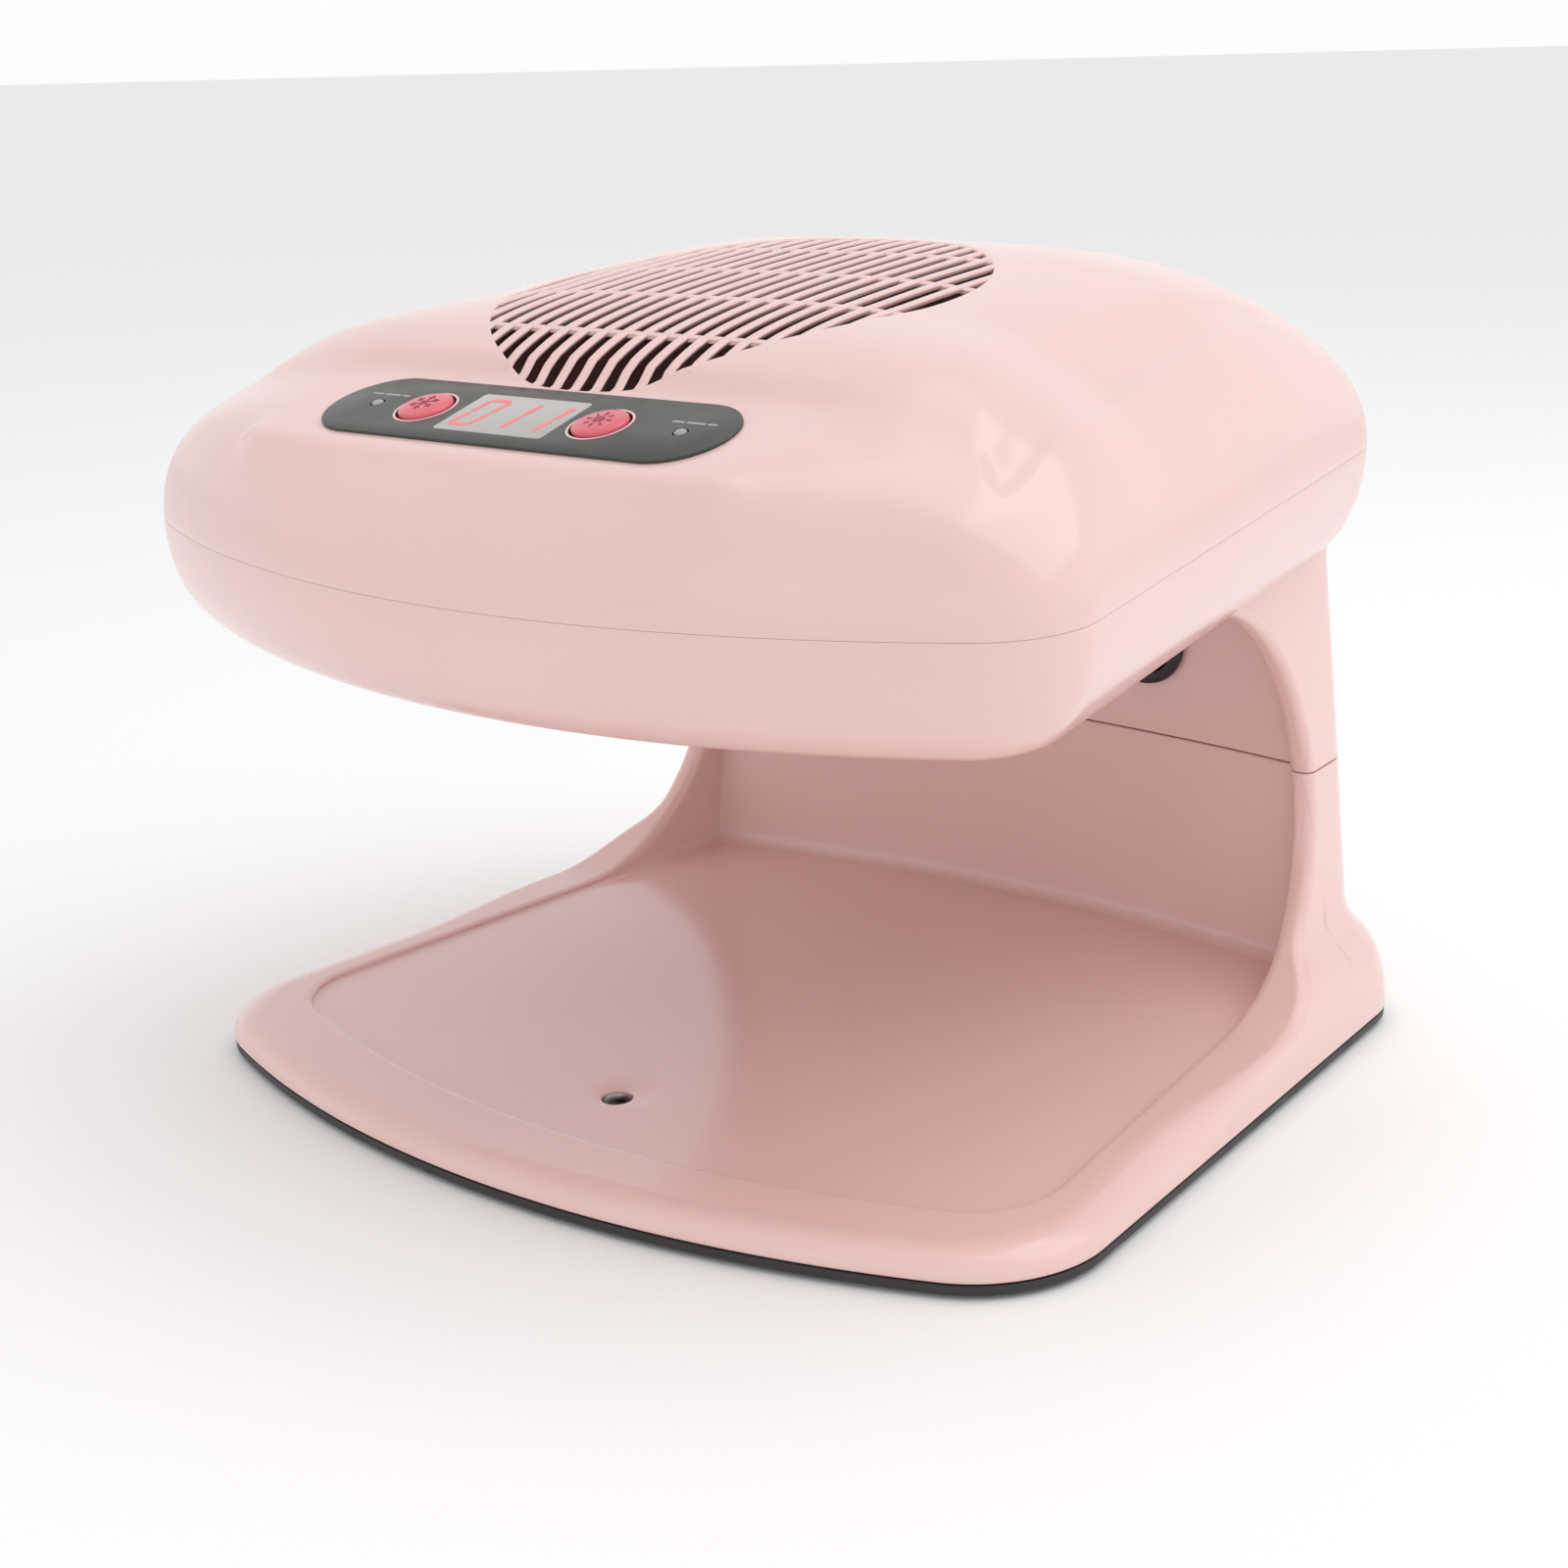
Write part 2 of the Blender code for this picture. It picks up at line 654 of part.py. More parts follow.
# infrared hand sensor and its small board
sensor_top = tray_z(SENSOR_Y) - DISH_DEPTH
sensor = lathe("sensor", [
    (0, 0.0052), (SENSOR_R + 0.0008, 0.0052), (SENSOR_R + 0.0008, 0.0055), (SENSOR_R, 0.0055),
    (SENSOR_R, sensor_top - 0.0004), (SENSOR_R * 0.75, sensor_top + 0.0002), (0, sensor_top + 0.0005),
], Matrix.Translation((0, SENSOR_Y, 0)), PARTS, 24)
finish(sensor, "tray_sensor", "sensor_lens")
board = slab(
    "sensor_board", rounded_rect(0.011, 0.007, 0.001, 2), 0.0036, 0.0049,
    Matrix.Translation((0, SENSOR_Y, 0)), PARTS)
finish(board, "sensor_board", "green_board.sensor", smooth=False)


def screw(name, place, length):
    """Slotted pan-head screw pointing up."""
    body = lathe("screw", [
        (0, 0), (0.0020, 0.0), (0.0026, 0.0004), (0.0026, 0.0009), (SCREW_R, 0.0009),
        (SCREW_R, length - 0.0008), (0.0005, length), (0, length),
    ], place, PARTS, 12)
    boolean(body, cutter_box("slot", (0.0030, 0.0006, 0.0010), (0, 0, 0), place))
    weld(body)
    return finish(body, name, "zinc_steel." + name)


for index, (x, y) in enumerate(BASE_SCREWS):
    length = tray_z(y) - DISH_DEPTH - POST_ROOF - PILOT_ROOF - 0.0008 - SCREW_HEAD_Z
    screw(f"screw_base_{index + 1}", Matrix.Translation((x, y, SCREW_HEAD_Z)), length)

# ---------------------------------------------------------------- head moulding
pan_rings = []
for degrees in (90, 70, 50, 32, 16, 0):
    turn = math.radians(degrees)
    drop = PAN_DEPTH * math.sin(turn)
    inset = PAN_INSET * (1 - math.cos(turn))
    pan_rings.append([(x, y, part_z(y) - drop - GAP / 2) for x, y in head_plan(inset)])
head = loft("head_shell", pan_rings, PARTS)
boolean(head, loft("column", body_rings(SEAM_Z + GAP / 2, 0.116), CUTTERS), "UNION")
boolean(head, hand_space("hand"))
boolean(head, inner_space("space", 0.050, under_z))

pan_cavity = []
for degrees in (90, 62, 34, 8):
    turn = math.radians(degrees)
    drop = (PAN_DEPTH - WALL) * math.sin(turn)
    inset = WALL + (PAN_INSET - 0.0004) * (1 - math.cos(turn))
    pan_cavity.append([(x, y, part_z(y) - drop) for x, y in head_plan(inset)])
pan_cavity.append([(x, y, part_z(y) + 0.01) for x, y in head_plan(WALL)])
boolean(head, loft("cavity", pan_cavity, CUTTERS))
boolean(head, wall_duct("duct", 0.050, 0.125))
boolean(head, cylinder("outlet", OUTLET_R + 0.0005, -0.01, 0.02, OUTLET_MATRIX, CUTTERS, 36))
boolean(head, cylinder("switch_hole", 0.0094 + GAP, -0.010, 0.010, SWITCH_MATRIX, CUTTERS, 32))

HEAD_SCREWS = ((-0.092, -0.062), (0.092, -0.062), (-0.074, 0.062), (0.074, 0.062))
SINK_R = 0.0030
for x, y in HEAD_SCREWS:
    place = Matrix.Translation((x, y, 0))
    low = under_z(y)
    boolean(head, cylinder("clear", SCREW_R + GAP, low - 0.004, low + 0.006, place, CUTTERS, 16))
    boolean(head, cylinder("sink", SINK_R, low - 0.004, low + 0.0014, place, CUTTERS, 16))
weld(head)
simplify(head, 0.7)
finish(head, "head_shell", "pink_abs.head")

# ---------------------------------------------------------------- top cover
RHO = (1.0, 0.992, 0.975, 0.95, 0.91, 0.86, 0.79, 0.70, 0.60, 0.46, 0.24)
centre_y = 0.5 * (HEAD_FRONT + HEAD_REAR)


def cover_solid(name):
    """Outer and inner skins joined at the rim."""
    bm = bmesh.new()
    stacks = []
    for inset, sink in ((0.0, 0.0), (WALL, WALL)):
        edge = head_plan(inset)
        layers = []
        for rho in RHO:
            ring = []
            for (x, y), (ox, oy) in zip(edge, head_plan(0.0)):
                px = x * rho
                py = centre_y + (y - centre_y) * rho
                qx = ox * rho
                qy = centre_y + (oy - centre_y) * rho
                if rho == 1.0:
                    height = part_z(py) + GAP / 2
                else:
                    height = max(cover_z(qx, qy) - sink, part_z(py) + 0.001)
                ring.append(bm.verts.new((px, py, height)))
            layers.append(ring)
        middle = bm.verts.new((0, centre_y, cover_z(0, centre_y) - sink))
        stacks.append((layers, middle))
    for layers, middle in stacks:
        for low, high in zip(layers, layers[1:]):
            for step in range(COUNT):
                after = (step + 1) % COUNT
                bm.faces.new((low[step], low[after], high[after], high[step]))
        for step in range(COUNT):
            bm.faces.new((layers[-1][step], layers[-1][(step + 1) % COUNT], middle))
    outer_rim = stacks[0][0][0]
    inner_rim = stacks[1][0][0]
    for step in range(COUNT):
        after = (step + 1) % COUNT
        bm.faces.new((outer_rim[step], outer_rim[after], inner_rim[after], inner_rim[step]))
    bmesh.ops.triangulate(bm, faces=bm.faces)
    return from_bmesh(name, bm, PARTS)


cover = cover_solid("top_cover")
simplify(cover, 1.6)

# slots run front to back, crossed by recessed ribs
slots = []
for index in range(SLOT_COUNT):
    x = (index - 0.5 * (SLOT_COUNT - 1)) * SLOT_PITCH
    half = math.sqrt(max(GRILLE_R ** 2 - x * x, 0.006 ** 2))
    slots.append(cutter_box("slot", (SLOT_WIDTH, 2 * half, 0.06), (x, FAN_Y, 0.175)))
boolean(cover, join("slots", slots, CUTTERS))
for row in RIB_ROWS:
    half = math.sqrt(GRILLE_R ** 2 - row * row) + 0.0015
    rings = []
    for step in range(9):
        x = -half + 2 * half * step / 8
        y = FAN_Y + row
        top = min(cover_z(x, y - 0.0012), cover_z(x, y + 0.0012)) - 0.0011
        rings.append([(x, y - 0.0012, top - 0.0028), (x, y + 0.0012, top - 0.0028),
                      (x, y + 0.0012, top), (x, y - 0.0012, top)])
    boolean(cover, loft("rib", rings, CUTTERS), "UNION")

# posts that take the screws from below
for x, y in HEAD_SCREWS:
    place = Matrix.Translation((x, y, 0))
    low = under_z(y) + WALL + 0.0006
    top = min(cover_z(x + dx, y + dy) for dx in (-0.0036, 0, 0.0036) for dy in (-0.0036, 0, 0.0036))
    boolean(cover, cylinder("post", 0.0036, low, top - 0.0010, place, CUTTERS, 12), "UNION")
    boolean(cover, cylinder("pilot", SCREW_R + GAP, low - 0.01, low + 0.010, place, CUTTERS, 12))

# pocket for the panel, with windows through it
boolean(cover, slab(
    "pocket", stadium(PANEL_HALF_LONG + GAP, PANEL_HALF_WIDE + GAP), -PANEL_THICK - GAP, 0.02,
    PANEL_MATRIX, CUTTERS))
boolean(cover, slab(
    "window", rounded_rect(WINDOW_HALF[0] + GAP, WINDOW_HALF[1] + GAP, 0.0008, 2), -0.012, 0.01,
    PANEL_MATRIX @ Matrix.Translation((WINDOW_X, 0, 0)), CUTTERS))
for x in (HOT_X, COOL_X):
    place = PANEL_MATRIX @ Matrix.Translation((x, 0, 0))
    boolean(cover, cylinder("button", BUTTON_R + 0.0008, -0.012, 0.01, place, CUTTERS, 32))
for x in LED_X:
    place = PANEL_MATRIX @ Matrix.Translation((x, 0, 0))
    boolean(cover, cylinder("led", 0.0018, -0.012, 0.01, place, CUTTERS, 20))
weld(cover)
simplify(cover, 1.4)
finish(cover, "top_cover", "pink_abs.cover")

for index, (x, y) in enumerate(HEAD_SCREWS):
    screw(f"screw_head_{index + 1}", Matrix.Translation((x, y, under_z(y) + 0.0003)), 0.0105)

# ---------------------------------------------------------------- panel pieces
panel = slab("panel", stadium(PANEL_HALF_LONG, PANEL_HALF_WIDE), -PANEL_THICK, 0.0, PANEL_MATRIX, PARTS)
boolean(panel, slab(
    "window", rounded_rect(WINDOW_HALF[0] + GAP, WINDOW_HALF[1] + GAP, 0.0008, 2), -0.01, 0.01,
    PANEL_MATRIX @ Matrix.Translation((WINDOW_X, 0, 0)), CUTTERS))
for x in (HOT_X, COOL_X):
    place = PANEL_MATRIX @ Matrix.Translation((x, 0, 0))
    boolean(panel, cylinder("button", BUTTON_R + GAP, -0.01, 0.01, place, CUTTERS, 32))
for x in LED_X:
    place = PANEL_MATRIX @ Matrix.Translation((x, 0, 0))
    boolean(panel, cylinder("led", 0.0013 + GAP, -0.01, 0.01, place, CUTTERS, 20))
weld(panel)
finish(panel, "panel_overlay", "panel_film")

window = slab(
    "window", rounded_rect(WINDOW_HALF[0], WINDOW_HALF[1], 0.0008, 2), -0.0012, 0.0001,
    PANEL_MATRIX @ Matrix.Translation((WINDOW_X, 0, 0)), PARTS)
finish(window, "display_window", "smoke_window")

BOARD_TOP = -0.0098
module = slab(
    "module", rounded_rect(WINDOW_HALF[0] - 0.0006, WINDOW_HALF[1] - 0.0006, 0.0005, 1),
    BOARD_TOP + GAP, -0.0012 - GAP, PANEL_MATRIX @ Matrix.Translation((WINDOW_X, 0, 0)), PARTS)
finish(module, "display_module", "red_segments", smooth=False)

for name, x in (("hot", HOT_X), ("cool", COOL_X)):
    place = PANEL_MATRIX @ Matrix.Translation((x, 0, 0))
    cap = lathe("cap", [
        (0, -0.0047), (0.0016, -0.0047), (0.0016, -0.0026), (BUTTON_R - GAP, -0.0026),
        (BUTTON_R - GAP, 0.0004), (BUTTON_R - 0.0008, 0.0009), (0, 0.0011),
    ], place, PARTS, 28)
    finish(cap, f"button_{name}", "red_button." + name,
           origin=PANEL_MATRIX @ Vector((x, 0, 0)))
    tact = slab("tact", rounded_rect(0.0030, 0.0030, 0.0004, 1), BOARD_TOP + GAP, -0.0072, place, PARTS)
    finish(tact, f"tact_switch_{name}", "black_abs.tact_" + name, smooth=False)
    stem = cylinder("stem", 0.0016, -0.0072 + BUTTON_TRAVEL + GAP, -0.0050, place, PARTS, 16)
    finish(stem, f"switch_plunger_{name}", "white_nylon." + name,
           origin=PANEL_MATRIX @ Vector((x, 0, -0.0058)))
for name, x in (("left", LED_X[0]), ("right", LED_X[1])):
    place = PANEL_MATRIX @ Matrix.Translation((x, 0, 0))
    lens = lathe("lens", [
        (0, BOARD_TOP + GAP), (0.0013, BOARD_TOP + GAP), (0.0013, 0.0), (0.0009, 0.0004), (0, 0.0005),
    ], place, PARTS, 20)
    finish(lens, f"indicator_{name}", "grey_lens." + name)
board = slab("board", rounded_rect(0.047, 0.0105, 0.001, 2), BOARD_TOP - 0.0016, BOARD_TOP,
             PANEL_MATRIX, PARTS)
finish(board, "control_board", "green_board.control", smooth=False)

# ---------------------------------------------------------------- fan
FAN_PLACE = Matrix.Translation((0, FAN_Y, 0))
frame = slab("frame", rounded_rect(FAN_SIZE / 2, FAN_SIZE / 2, 0.006, 3), FAN_BOTTOM, FAN_TOP,
             FAN_PLACE, PARTS)
boolean(frame, cylinder("bore", FAN_BORE, FAN_BOTTOM - 0.01, FAN_TOP + 0.01, FAN_PLACE, CUTTERS, 36))
for turn in (45, 135, 225, 315):
    spoke = cutter_box("spoke", (0.040, 0.0035, 0.0030), (0.0355, 0, FAN_BOTTOM + 0.0015),
                       FAN_PLACE @ Matrix.Rotation(math.radians(turn), 4, "Z"))
    boolean(frame, spoke, "UNION")
boolean(frame, cylinder("seat", HUB_R, FAN_BOTTOM, FAN_BOTTOM + 0.0030, FAN_PLACE, CUTTERS, 32), "UNION")
boolean(frame, cylinder("bearing", 0.0042, FAN_BOTTOM - 0.01, FAN_BOTTOM + 0.01, FAN_PLACE, CUTTERS, 20))
for x in (-1, 1):
    for y in (-1, 1):
        place = FAN_PLACE @ Matrix.Translation((x * 0.0495, y * 0.0495, 0))
        boolean(frame, cylinder("hole", 0.0021, FAN_BOTTOM - 0.01, FAN_TOP + 0.01, place, CUTTERS, 8))
weld(frame)
finish(frame, "fan_frame", "black_abs.fan_frame")

motor = lathe("motor", [
    (0, FAN_BOTTOM + 0.0004), (0.0038, FAN_BOTTOM + 0.0004), (0.0038, FAN_BOTTOM + 0.0034),
    (0.0135, FAN_BOTTOM + 0.0034), (0.0135, FAN_TOP - 0.0065), (0.0050, FAN_TOP - 0.0065),
    (0.0050, FAN_TOP - 0.0050), (0, FAN_TOP - 0.0050),
], FAN_PLACE, PARTS, 20)
finish(motor, "fan_motor", "copper_tape.motor")

rotor = lathe("rotor", [
    (0, FAN_TOP - 0.0010), (HUB_R - 0.001, FAN_TOP - 0.0010), (HUB_R, FAN_TOP - 0.0020),
    (HUB_R, FAN_BOTTOM + 0.0040), (HUB_R - 0.0030, FAN_BOTTOM + 0.0040),
    (HUB_R - 0.0030, FAN_TOP - 0.0040), (0, FAN_TOP - 0.0040),
], FAN_PLACE, PARTS, 28)
for blade in range(BLADES):
    rings = []
    for step in range(5):
        radius = HUB_R - 0.0012 + (ROTOR_R - HUB_R + 0.0012) * step / 4
        pitch = math.radians(48 - 20 * step / 4)
        chord = 0.0115 + 0.0045 * step / 4
        thick = 0.00085
        ring = []
        for u, v in ((-1, -1), (0, -1.0), (1, -1), (1, 1), (0, 1.0), (-1, 1)):
            along = u * chord
            across = v * thick + 0.0012 * (1 - u * u)
            tangent = along * math.cos(pitch) - across * math.sin(pitch)
            height = along * math.sin(pitch) + across * math.cos(pitch)
            ring.append((radius, tangent, 0.5 * (FAN_BOTTOM + FAN_TOP) + 0.0015 + height * 0.86))
        rings.append(ring)
    fin = loft("fin", rings, CUTTERS)
    fin.data.transform(FAN_PLACE @ Matrix.Rotation(2 * math.pi * blade / BLADES, 4, "Z"))
    boolean(rotor, fin, "UNION")
weld(rotor)
finish(rotor, "fan_rotor", "black_abs.fan_rotor", origin=(0, FAN_Y, 0.5 * (FAN_BOTTOM + FAN_TOP)))

# ---------------------------------------------------------------- heater and outlet
floor = WALL + GAP
DUCT_R = 0.0535
duct = loft("duct", [
    [(DUCT_R * math.cos(a), FAN_Y + DUCT_R * math.sin(a), under_z(FAN_Y + DUCT_R * math.sin(a)) + floor)
     for a in np.linspace(0, 2 * math.pi, 32, endpoint=False)],
    [(DUCT_R * math.cos(a), FAN_Y + DUCT_R * math.sin(a), FAN_BOTTOM - GAP)
     for a in np.linspace(0, 2 * math.pi, 32, endpoint=False)],
], PARTS)
boolean(duct, cylinder("bore", DUCT_R - 0.0016, 0.09, 0.14, FAN_PLACE, CUTTERS, 32))
weld(duct)
finish(duct, "heater_duct", "mica_sheet.duct")

HEAT_LOW = 0.1101
HEAT_HIGH = 0.1186
cross = slab("cross", rounded_rect(0.0505, 0.0006, 0.0002, 1), HEAT_LOW, HEAT_HIGH, FAN_PLACE, PARTS)
boolean(cross, slab("cross_b", rounded_rect(0.0505, 0.0006, 0.0002, 1), HEAT_LOW, HEAT_HIGH,
                    FAN_PLACE @ Matrix.Rotation(math.radians(90), 4, "Z"), CUTTERS), "UNION")
COIL_START = 0.375       # turns
COIL_TURNS = 3.5
COIL_RADIUS = 0.014
COIL_PITCH = 0.009
COIL_Z = 0.5 * (HEAT_LOW + HEAT_HIGH)
WIRE_R = 0.0011


def coil_radius(turns):
    """Distance of the heating wire from the fan axis."""
    return COIL_RADIUS + COIL_PITCH * (turns - COIL_START)


notches = []
for crossing in range(2, 16):
    turns = crossing / 4
    notches.append(cutter_box(
        "notch", (0.0034, 0.006, 0.0034), (coil_radius(turns), 0, COIL_Z),
        FAN_PLACE @ Matrix.Rotation(2 * math.pi * turns, 4, "Z")))
boolean(cross, join("notches", notches, CUTTERS))
weld(cross)
finish(cross, "heater_cross", "mica_sheet.cross", smooth=False)

# the heating wire is one flat open spiral that crosses the mica arms in their notches
SPIRAL_STEPS = 84
spiral = bpy.data.curves.new("coil", "CURVE")
spiral.dimensions = "3D"
spiral.bevel_depth = WIRE_R
spiral.bevel_resolution = 0
spiral.use_fill_caps = True
line = spiral.splines.new("POLY")
line.points.add(SPIRAL_STEPS)
for step in range(SPIRAL_STEPS + 1):
    turns = COIL_START + COIL_TURNS * step / SPIRAL_STEPS
    radius = coil_radius(turns)
    angle = 2 * math.pi * turns
    line.points[step].co = (radius * math.cos(angle), FAN_Y + radius * math.sin(angle), COIL_Z, 1)
coil_obj = bpy.data.objects.new("coil_path", spiral)
SCENE.collection.objects.link(coil_obj)
bpy.context.view_layer.update()
coil_mesh = bpy.data.meshes.new_from_object(coil_obj.evaluated_get(bpy.context.evaluated_depsgraph_get()))
bpy.data.objects.remove(coil_obj, do_unlink=True)
coil = add_mesh("heater_coil", coil_mesh, PARTS)
weld(coil)
finish(coil, "heater_coil", "heater_wire")

outlet = cylinder("outlet", OUTLET_R, -0.0006, WALL + 0.0004, OUTLET_MATRIX, PARTS, 36)
for radius, width, count in ((0.013, 0.006, 18), (0.026, 0.006, 30), (0.039, 0.006, 36)):
    ring = lathe("ring", [
        (radius - width / 2, -0.01), (radius + width / 2, -0.01),
        (radius + width / 2, 0.01), (radius - width / 2, 0.01),
    ], OUTLET_MATRIX, CUTTERS, count)
    for turn in (0, 60, 120):
        boolean(ring, cutter_box("bar", (0.12, 0.0030, 0.04), (0, 0, 0),
                                 OUTLET_MATRIX @ Matrix.Rotation(math.radians(turn), 4, "Z")))
    boolean(outlet, ring)
weld(outlet)
finish(outlet, "outlet_grille", "black_abs.outlet")

cutout = slab("cutout", rounded_rect(0.0040, 0.0018, 0.0008, 2), HEAT_LOW + 0.001, HEAT_HIGH - 0.001,
              Matrix.Translation((0.0330, FAN_Y + 0.0330, 0)), PARTS)
finish(cutout, "thermal_cutout", "zinc_steel.cutout", smooth=False)

# ---------------------------------------------------------------- power electronics behind the fan
BOARD_Y = 0.072
BOARD_Z = 0.1150
board = slab("power", rounded_rect(0.056, 0.022, 0.0015, 2), BOARD_Z, BOARD_Z + 0.0016,
             Matrix.Translation((0, BOARD_Y, 0)), PARTS)
finish(board, "power_board", "green_board.power", smooth=False)
TOP = BOARD_Z + 0.0016 + GAP
trafo = slab("trafo", rounded_rect(0.0110, 0.0095, 0.0008, 1), TOP, TOP + 0.0190,
             Matrix.Translation((-0.038, BOARD_Y, 0)), PARTS)
finish(trafo, "transformer", "copper_tape.transformer", smooth=False)
cap = lathe("capacitor", [
    (0, TOP), (0.0058, TOP), (0.0063, TOP + 0.0008), (0.0063, TOP + 0.0190), (0.0056, TOP + 0.0200),
    (0, TOP + 0.0200),
], Matrix.Translation((-0.014, BOARD_Y - 0.006, 0)), PARTS, 28)
finish(cap, "capacitor", "capacitor_sleeve")
relay = slab("relay", rounded_rect(0.0095, 0.0075, 0.0006, 1), TOP, TOP + 0.0155,
             Matrix.Translation((0.010, BOARD_Y + 0.004, 0)), PARTS)
finish(relay, "relay", "relay_blue", smooth=False)
buzzer = lathe("buzzer", [
    (0, TOP), (0.0060, TOP), (0.0060, TOP + 0.0085), (0.0010, TOP + 0.0085), (0.0010, TOP + 0.0070),
    (0, TOP + 0.0070),
], Matrix.Translation((0.033, BOARD_Y - 0.006, 0)), PARTS, 28)
finish(buzzer, "buzzer", "black_abs.buzzer")

# ---------------------------------------------------------------- round rocker switch
body = lathe("body", [
    (SWITCH_R - 0.0026, 0.0022), (SWITCH_R - 0.0010, 0.0022), (SWITCH_R, 0.0014), (SWITCH_R, 0.0009),
    (0.0094, 0.0009), (0.0094, -0.0090), (SWITCH_R - 0.0026, -0.0090),
], SWITCH_MATRIX, PARTS, 28)
back = cylinder("back", 0.0090, -0.0096, -0.0080, SWITCH_MATRIX, CUTTERS, 32)
boolean(body, back, "UNION")
weld(body)
finish(body, "switch_body", "black_abs.switch_body")
PIVOT_Z = -0.0030
rocker_outline = []
for step in range(9):
    angle = math.radians(-62 + 124 * step / 8)
    rocker_outline.append((0.0070 * math.sin(angle), 0.0034 - 0.0011 * math.cos(angle)))
rocker_outline += [(0.0052, -0.0044), (-0.0052, -0.0044)]
TILT = SWITCH_MATRIX @ Matrix.Translation((0, 0, PIVOT_Z)) @ Matrix.Rotation(ROCKER_TILT, 4, "X")
rocker = loft("rocker", [
    [TILT @ Vector((x, y, z - PIVOT_Z)) for y, z in rocker_outline] for x in (-0.0044, 0.0044)
], PARTS)
weld(rocker)
finish(rocker, "switch_rocker", "black_abs.rocker", smooth=False,
       origin=SWITCH_MATRIX @ Vector((0, 0, PIVOT_Z)))

for obj in PARTS.objects:
    if obj.location.length:
        obj.location.y += CENTRE_Y
    else:
        obj.data.transform(Matrix.Translation((0, CENTRE_Y, 0)))
    bm = bmesh.new()
    bm.from_mesh(obj.data)
    bmesh.ops.triangulate(bm, faces=[f for f in bm.faces if len(f.verts) > 4])
    open_edges = sum(1 for edge in bm.edges if not edge.is_manifold)
    count = sum(len(f.verts) - 2 for f in bm.faces)
    bm.to_mesh(obj.data)
    bm.free()
    print(obj.name, count, "open" if open_edges else "closed")
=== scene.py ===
"""Looks for the warm and cool air nail dryer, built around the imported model.

Metres, +Z up, front faces -Y. The mouldings are finer copies of the CAD shapes. They are drawn
round the working axis that the CAD uses, and place_piece moves each one by CENTRE_Y.
"""

import json
import math

import bmesh
import bpy
import numpy as np
from mathutils import Matrix, Vector


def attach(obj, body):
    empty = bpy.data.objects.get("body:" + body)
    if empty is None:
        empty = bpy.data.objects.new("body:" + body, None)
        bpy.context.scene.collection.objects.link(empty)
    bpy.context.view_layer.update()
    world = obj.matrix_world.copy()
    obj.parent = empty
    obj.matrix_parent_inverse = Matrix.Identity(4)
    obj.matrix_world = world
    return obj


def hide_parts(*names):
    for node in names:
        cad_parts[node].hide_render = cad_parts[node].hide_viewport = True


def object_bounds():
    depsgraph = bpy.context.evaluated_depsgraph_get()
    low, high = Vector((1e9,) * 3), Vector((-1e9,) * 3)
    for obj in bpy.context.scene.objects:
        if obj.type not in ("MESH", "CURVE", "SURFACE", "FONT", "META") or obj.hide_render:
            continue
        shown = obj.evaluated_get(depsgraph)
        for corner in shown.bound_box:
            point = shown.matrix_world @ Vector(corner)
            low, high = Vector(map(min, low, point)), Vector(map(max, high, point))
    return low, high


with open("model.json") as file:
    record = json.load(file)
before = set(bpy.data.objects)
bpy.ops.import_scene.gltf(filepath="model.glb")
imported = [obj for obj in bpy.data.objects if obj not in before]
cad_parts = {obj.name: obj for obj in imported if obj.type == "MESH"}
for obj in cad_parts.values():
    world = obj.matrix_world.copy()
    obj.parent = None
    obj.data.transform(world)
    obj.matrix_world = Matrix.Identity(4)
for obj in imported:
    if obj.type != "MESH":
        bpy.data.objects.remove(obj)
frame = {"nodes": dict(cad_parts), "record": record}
CAD_BOX = [list(corner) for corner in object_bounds()]
NODES = frame["nodes"]
COLLECTION = bpy.context.scene.collection

# ---- dimensions shared with the CAD
GAP = 0.0003
WALL = 0.0024
BASE_HALF, BASE_TAPER = 0.112, 0.09
BASE_FRONT, BASE_REAR = -0.0995, 0.117
BASE_FRONT_R, BASE_REAR_R = 0.262, 0.42
BASE_FRONT_FILLET, BASE_REAR_FILLET = 0.029, 0.021
PLATE_BOTTOM, PLATE_TOP = 0.0009, 0.0031
DISH_DEPTH = 0.0016
COL_WALL = 0.0045
SEAM_Z = 0.0625
COLUMN_TOP_Z = 0.108
CUT_Y, CUT_DEPTH = 0.031, 0.0455
BACK_Y, BACK_R = 0.090, 0.45
HAND_FRONT, HAND_TAPER = -0.0800, BASE_TAPER + 0.02
HAND_FRONT_FILLET, HAND_REAR_FILLET = 0.020, 0.0010
TRAY_Z0, TRAY_SLOPE = 0.0125, 0.040
PART_Z0, PART_SLOPE = 0.130, 0.050
HEAD_HALF, HEAD_TAPER = 0.1093, 0.165
HEAD_FRONT, HEAD_REAR = -0.1064, 0.116
CENTRE_Y = CAD_BOX[0][1] - HEAD_FRONT       # the pieces are drawn as in the CAD, then centred
HEAD_FRONT_R, HEAD_REAR_R = 0.238, 0.40
HEAD_FRONT_FILLET, HEAD_REAR_FILLET = 0.021, 0.026
PAN_DEPTH, PAN_INSET = 0.0250, 0.0147
SIDE_POWER, EDGE_POWER = 3.4, 2.1
CROWN = (
    (-0.1064, 0.0), (-0.1050, 0.0080), (-0.1000, 0.0172), (-0.0940, 0.0240),
    (-0.0900, 0.0270), (-0.0640, 0.0337), (-0.0560, 0.0385), (-0.0450, 0.0425),
    (-0.0200, 0.0460), (0.0100, 0.0480), (0.0380, 0.0490), (0.0600, 0.0465),
    (0.0800, 0.0410), (0.0960, 0.0320), (0.1070, 0.0210), (0.1130, 0.0110), (0.1160, 0.0),
)
FAN_Y = -0.010
GRILLE_R = 0.0534
BAR_PITCH, SLOT_WIDTH = 0.0053, 0.0025
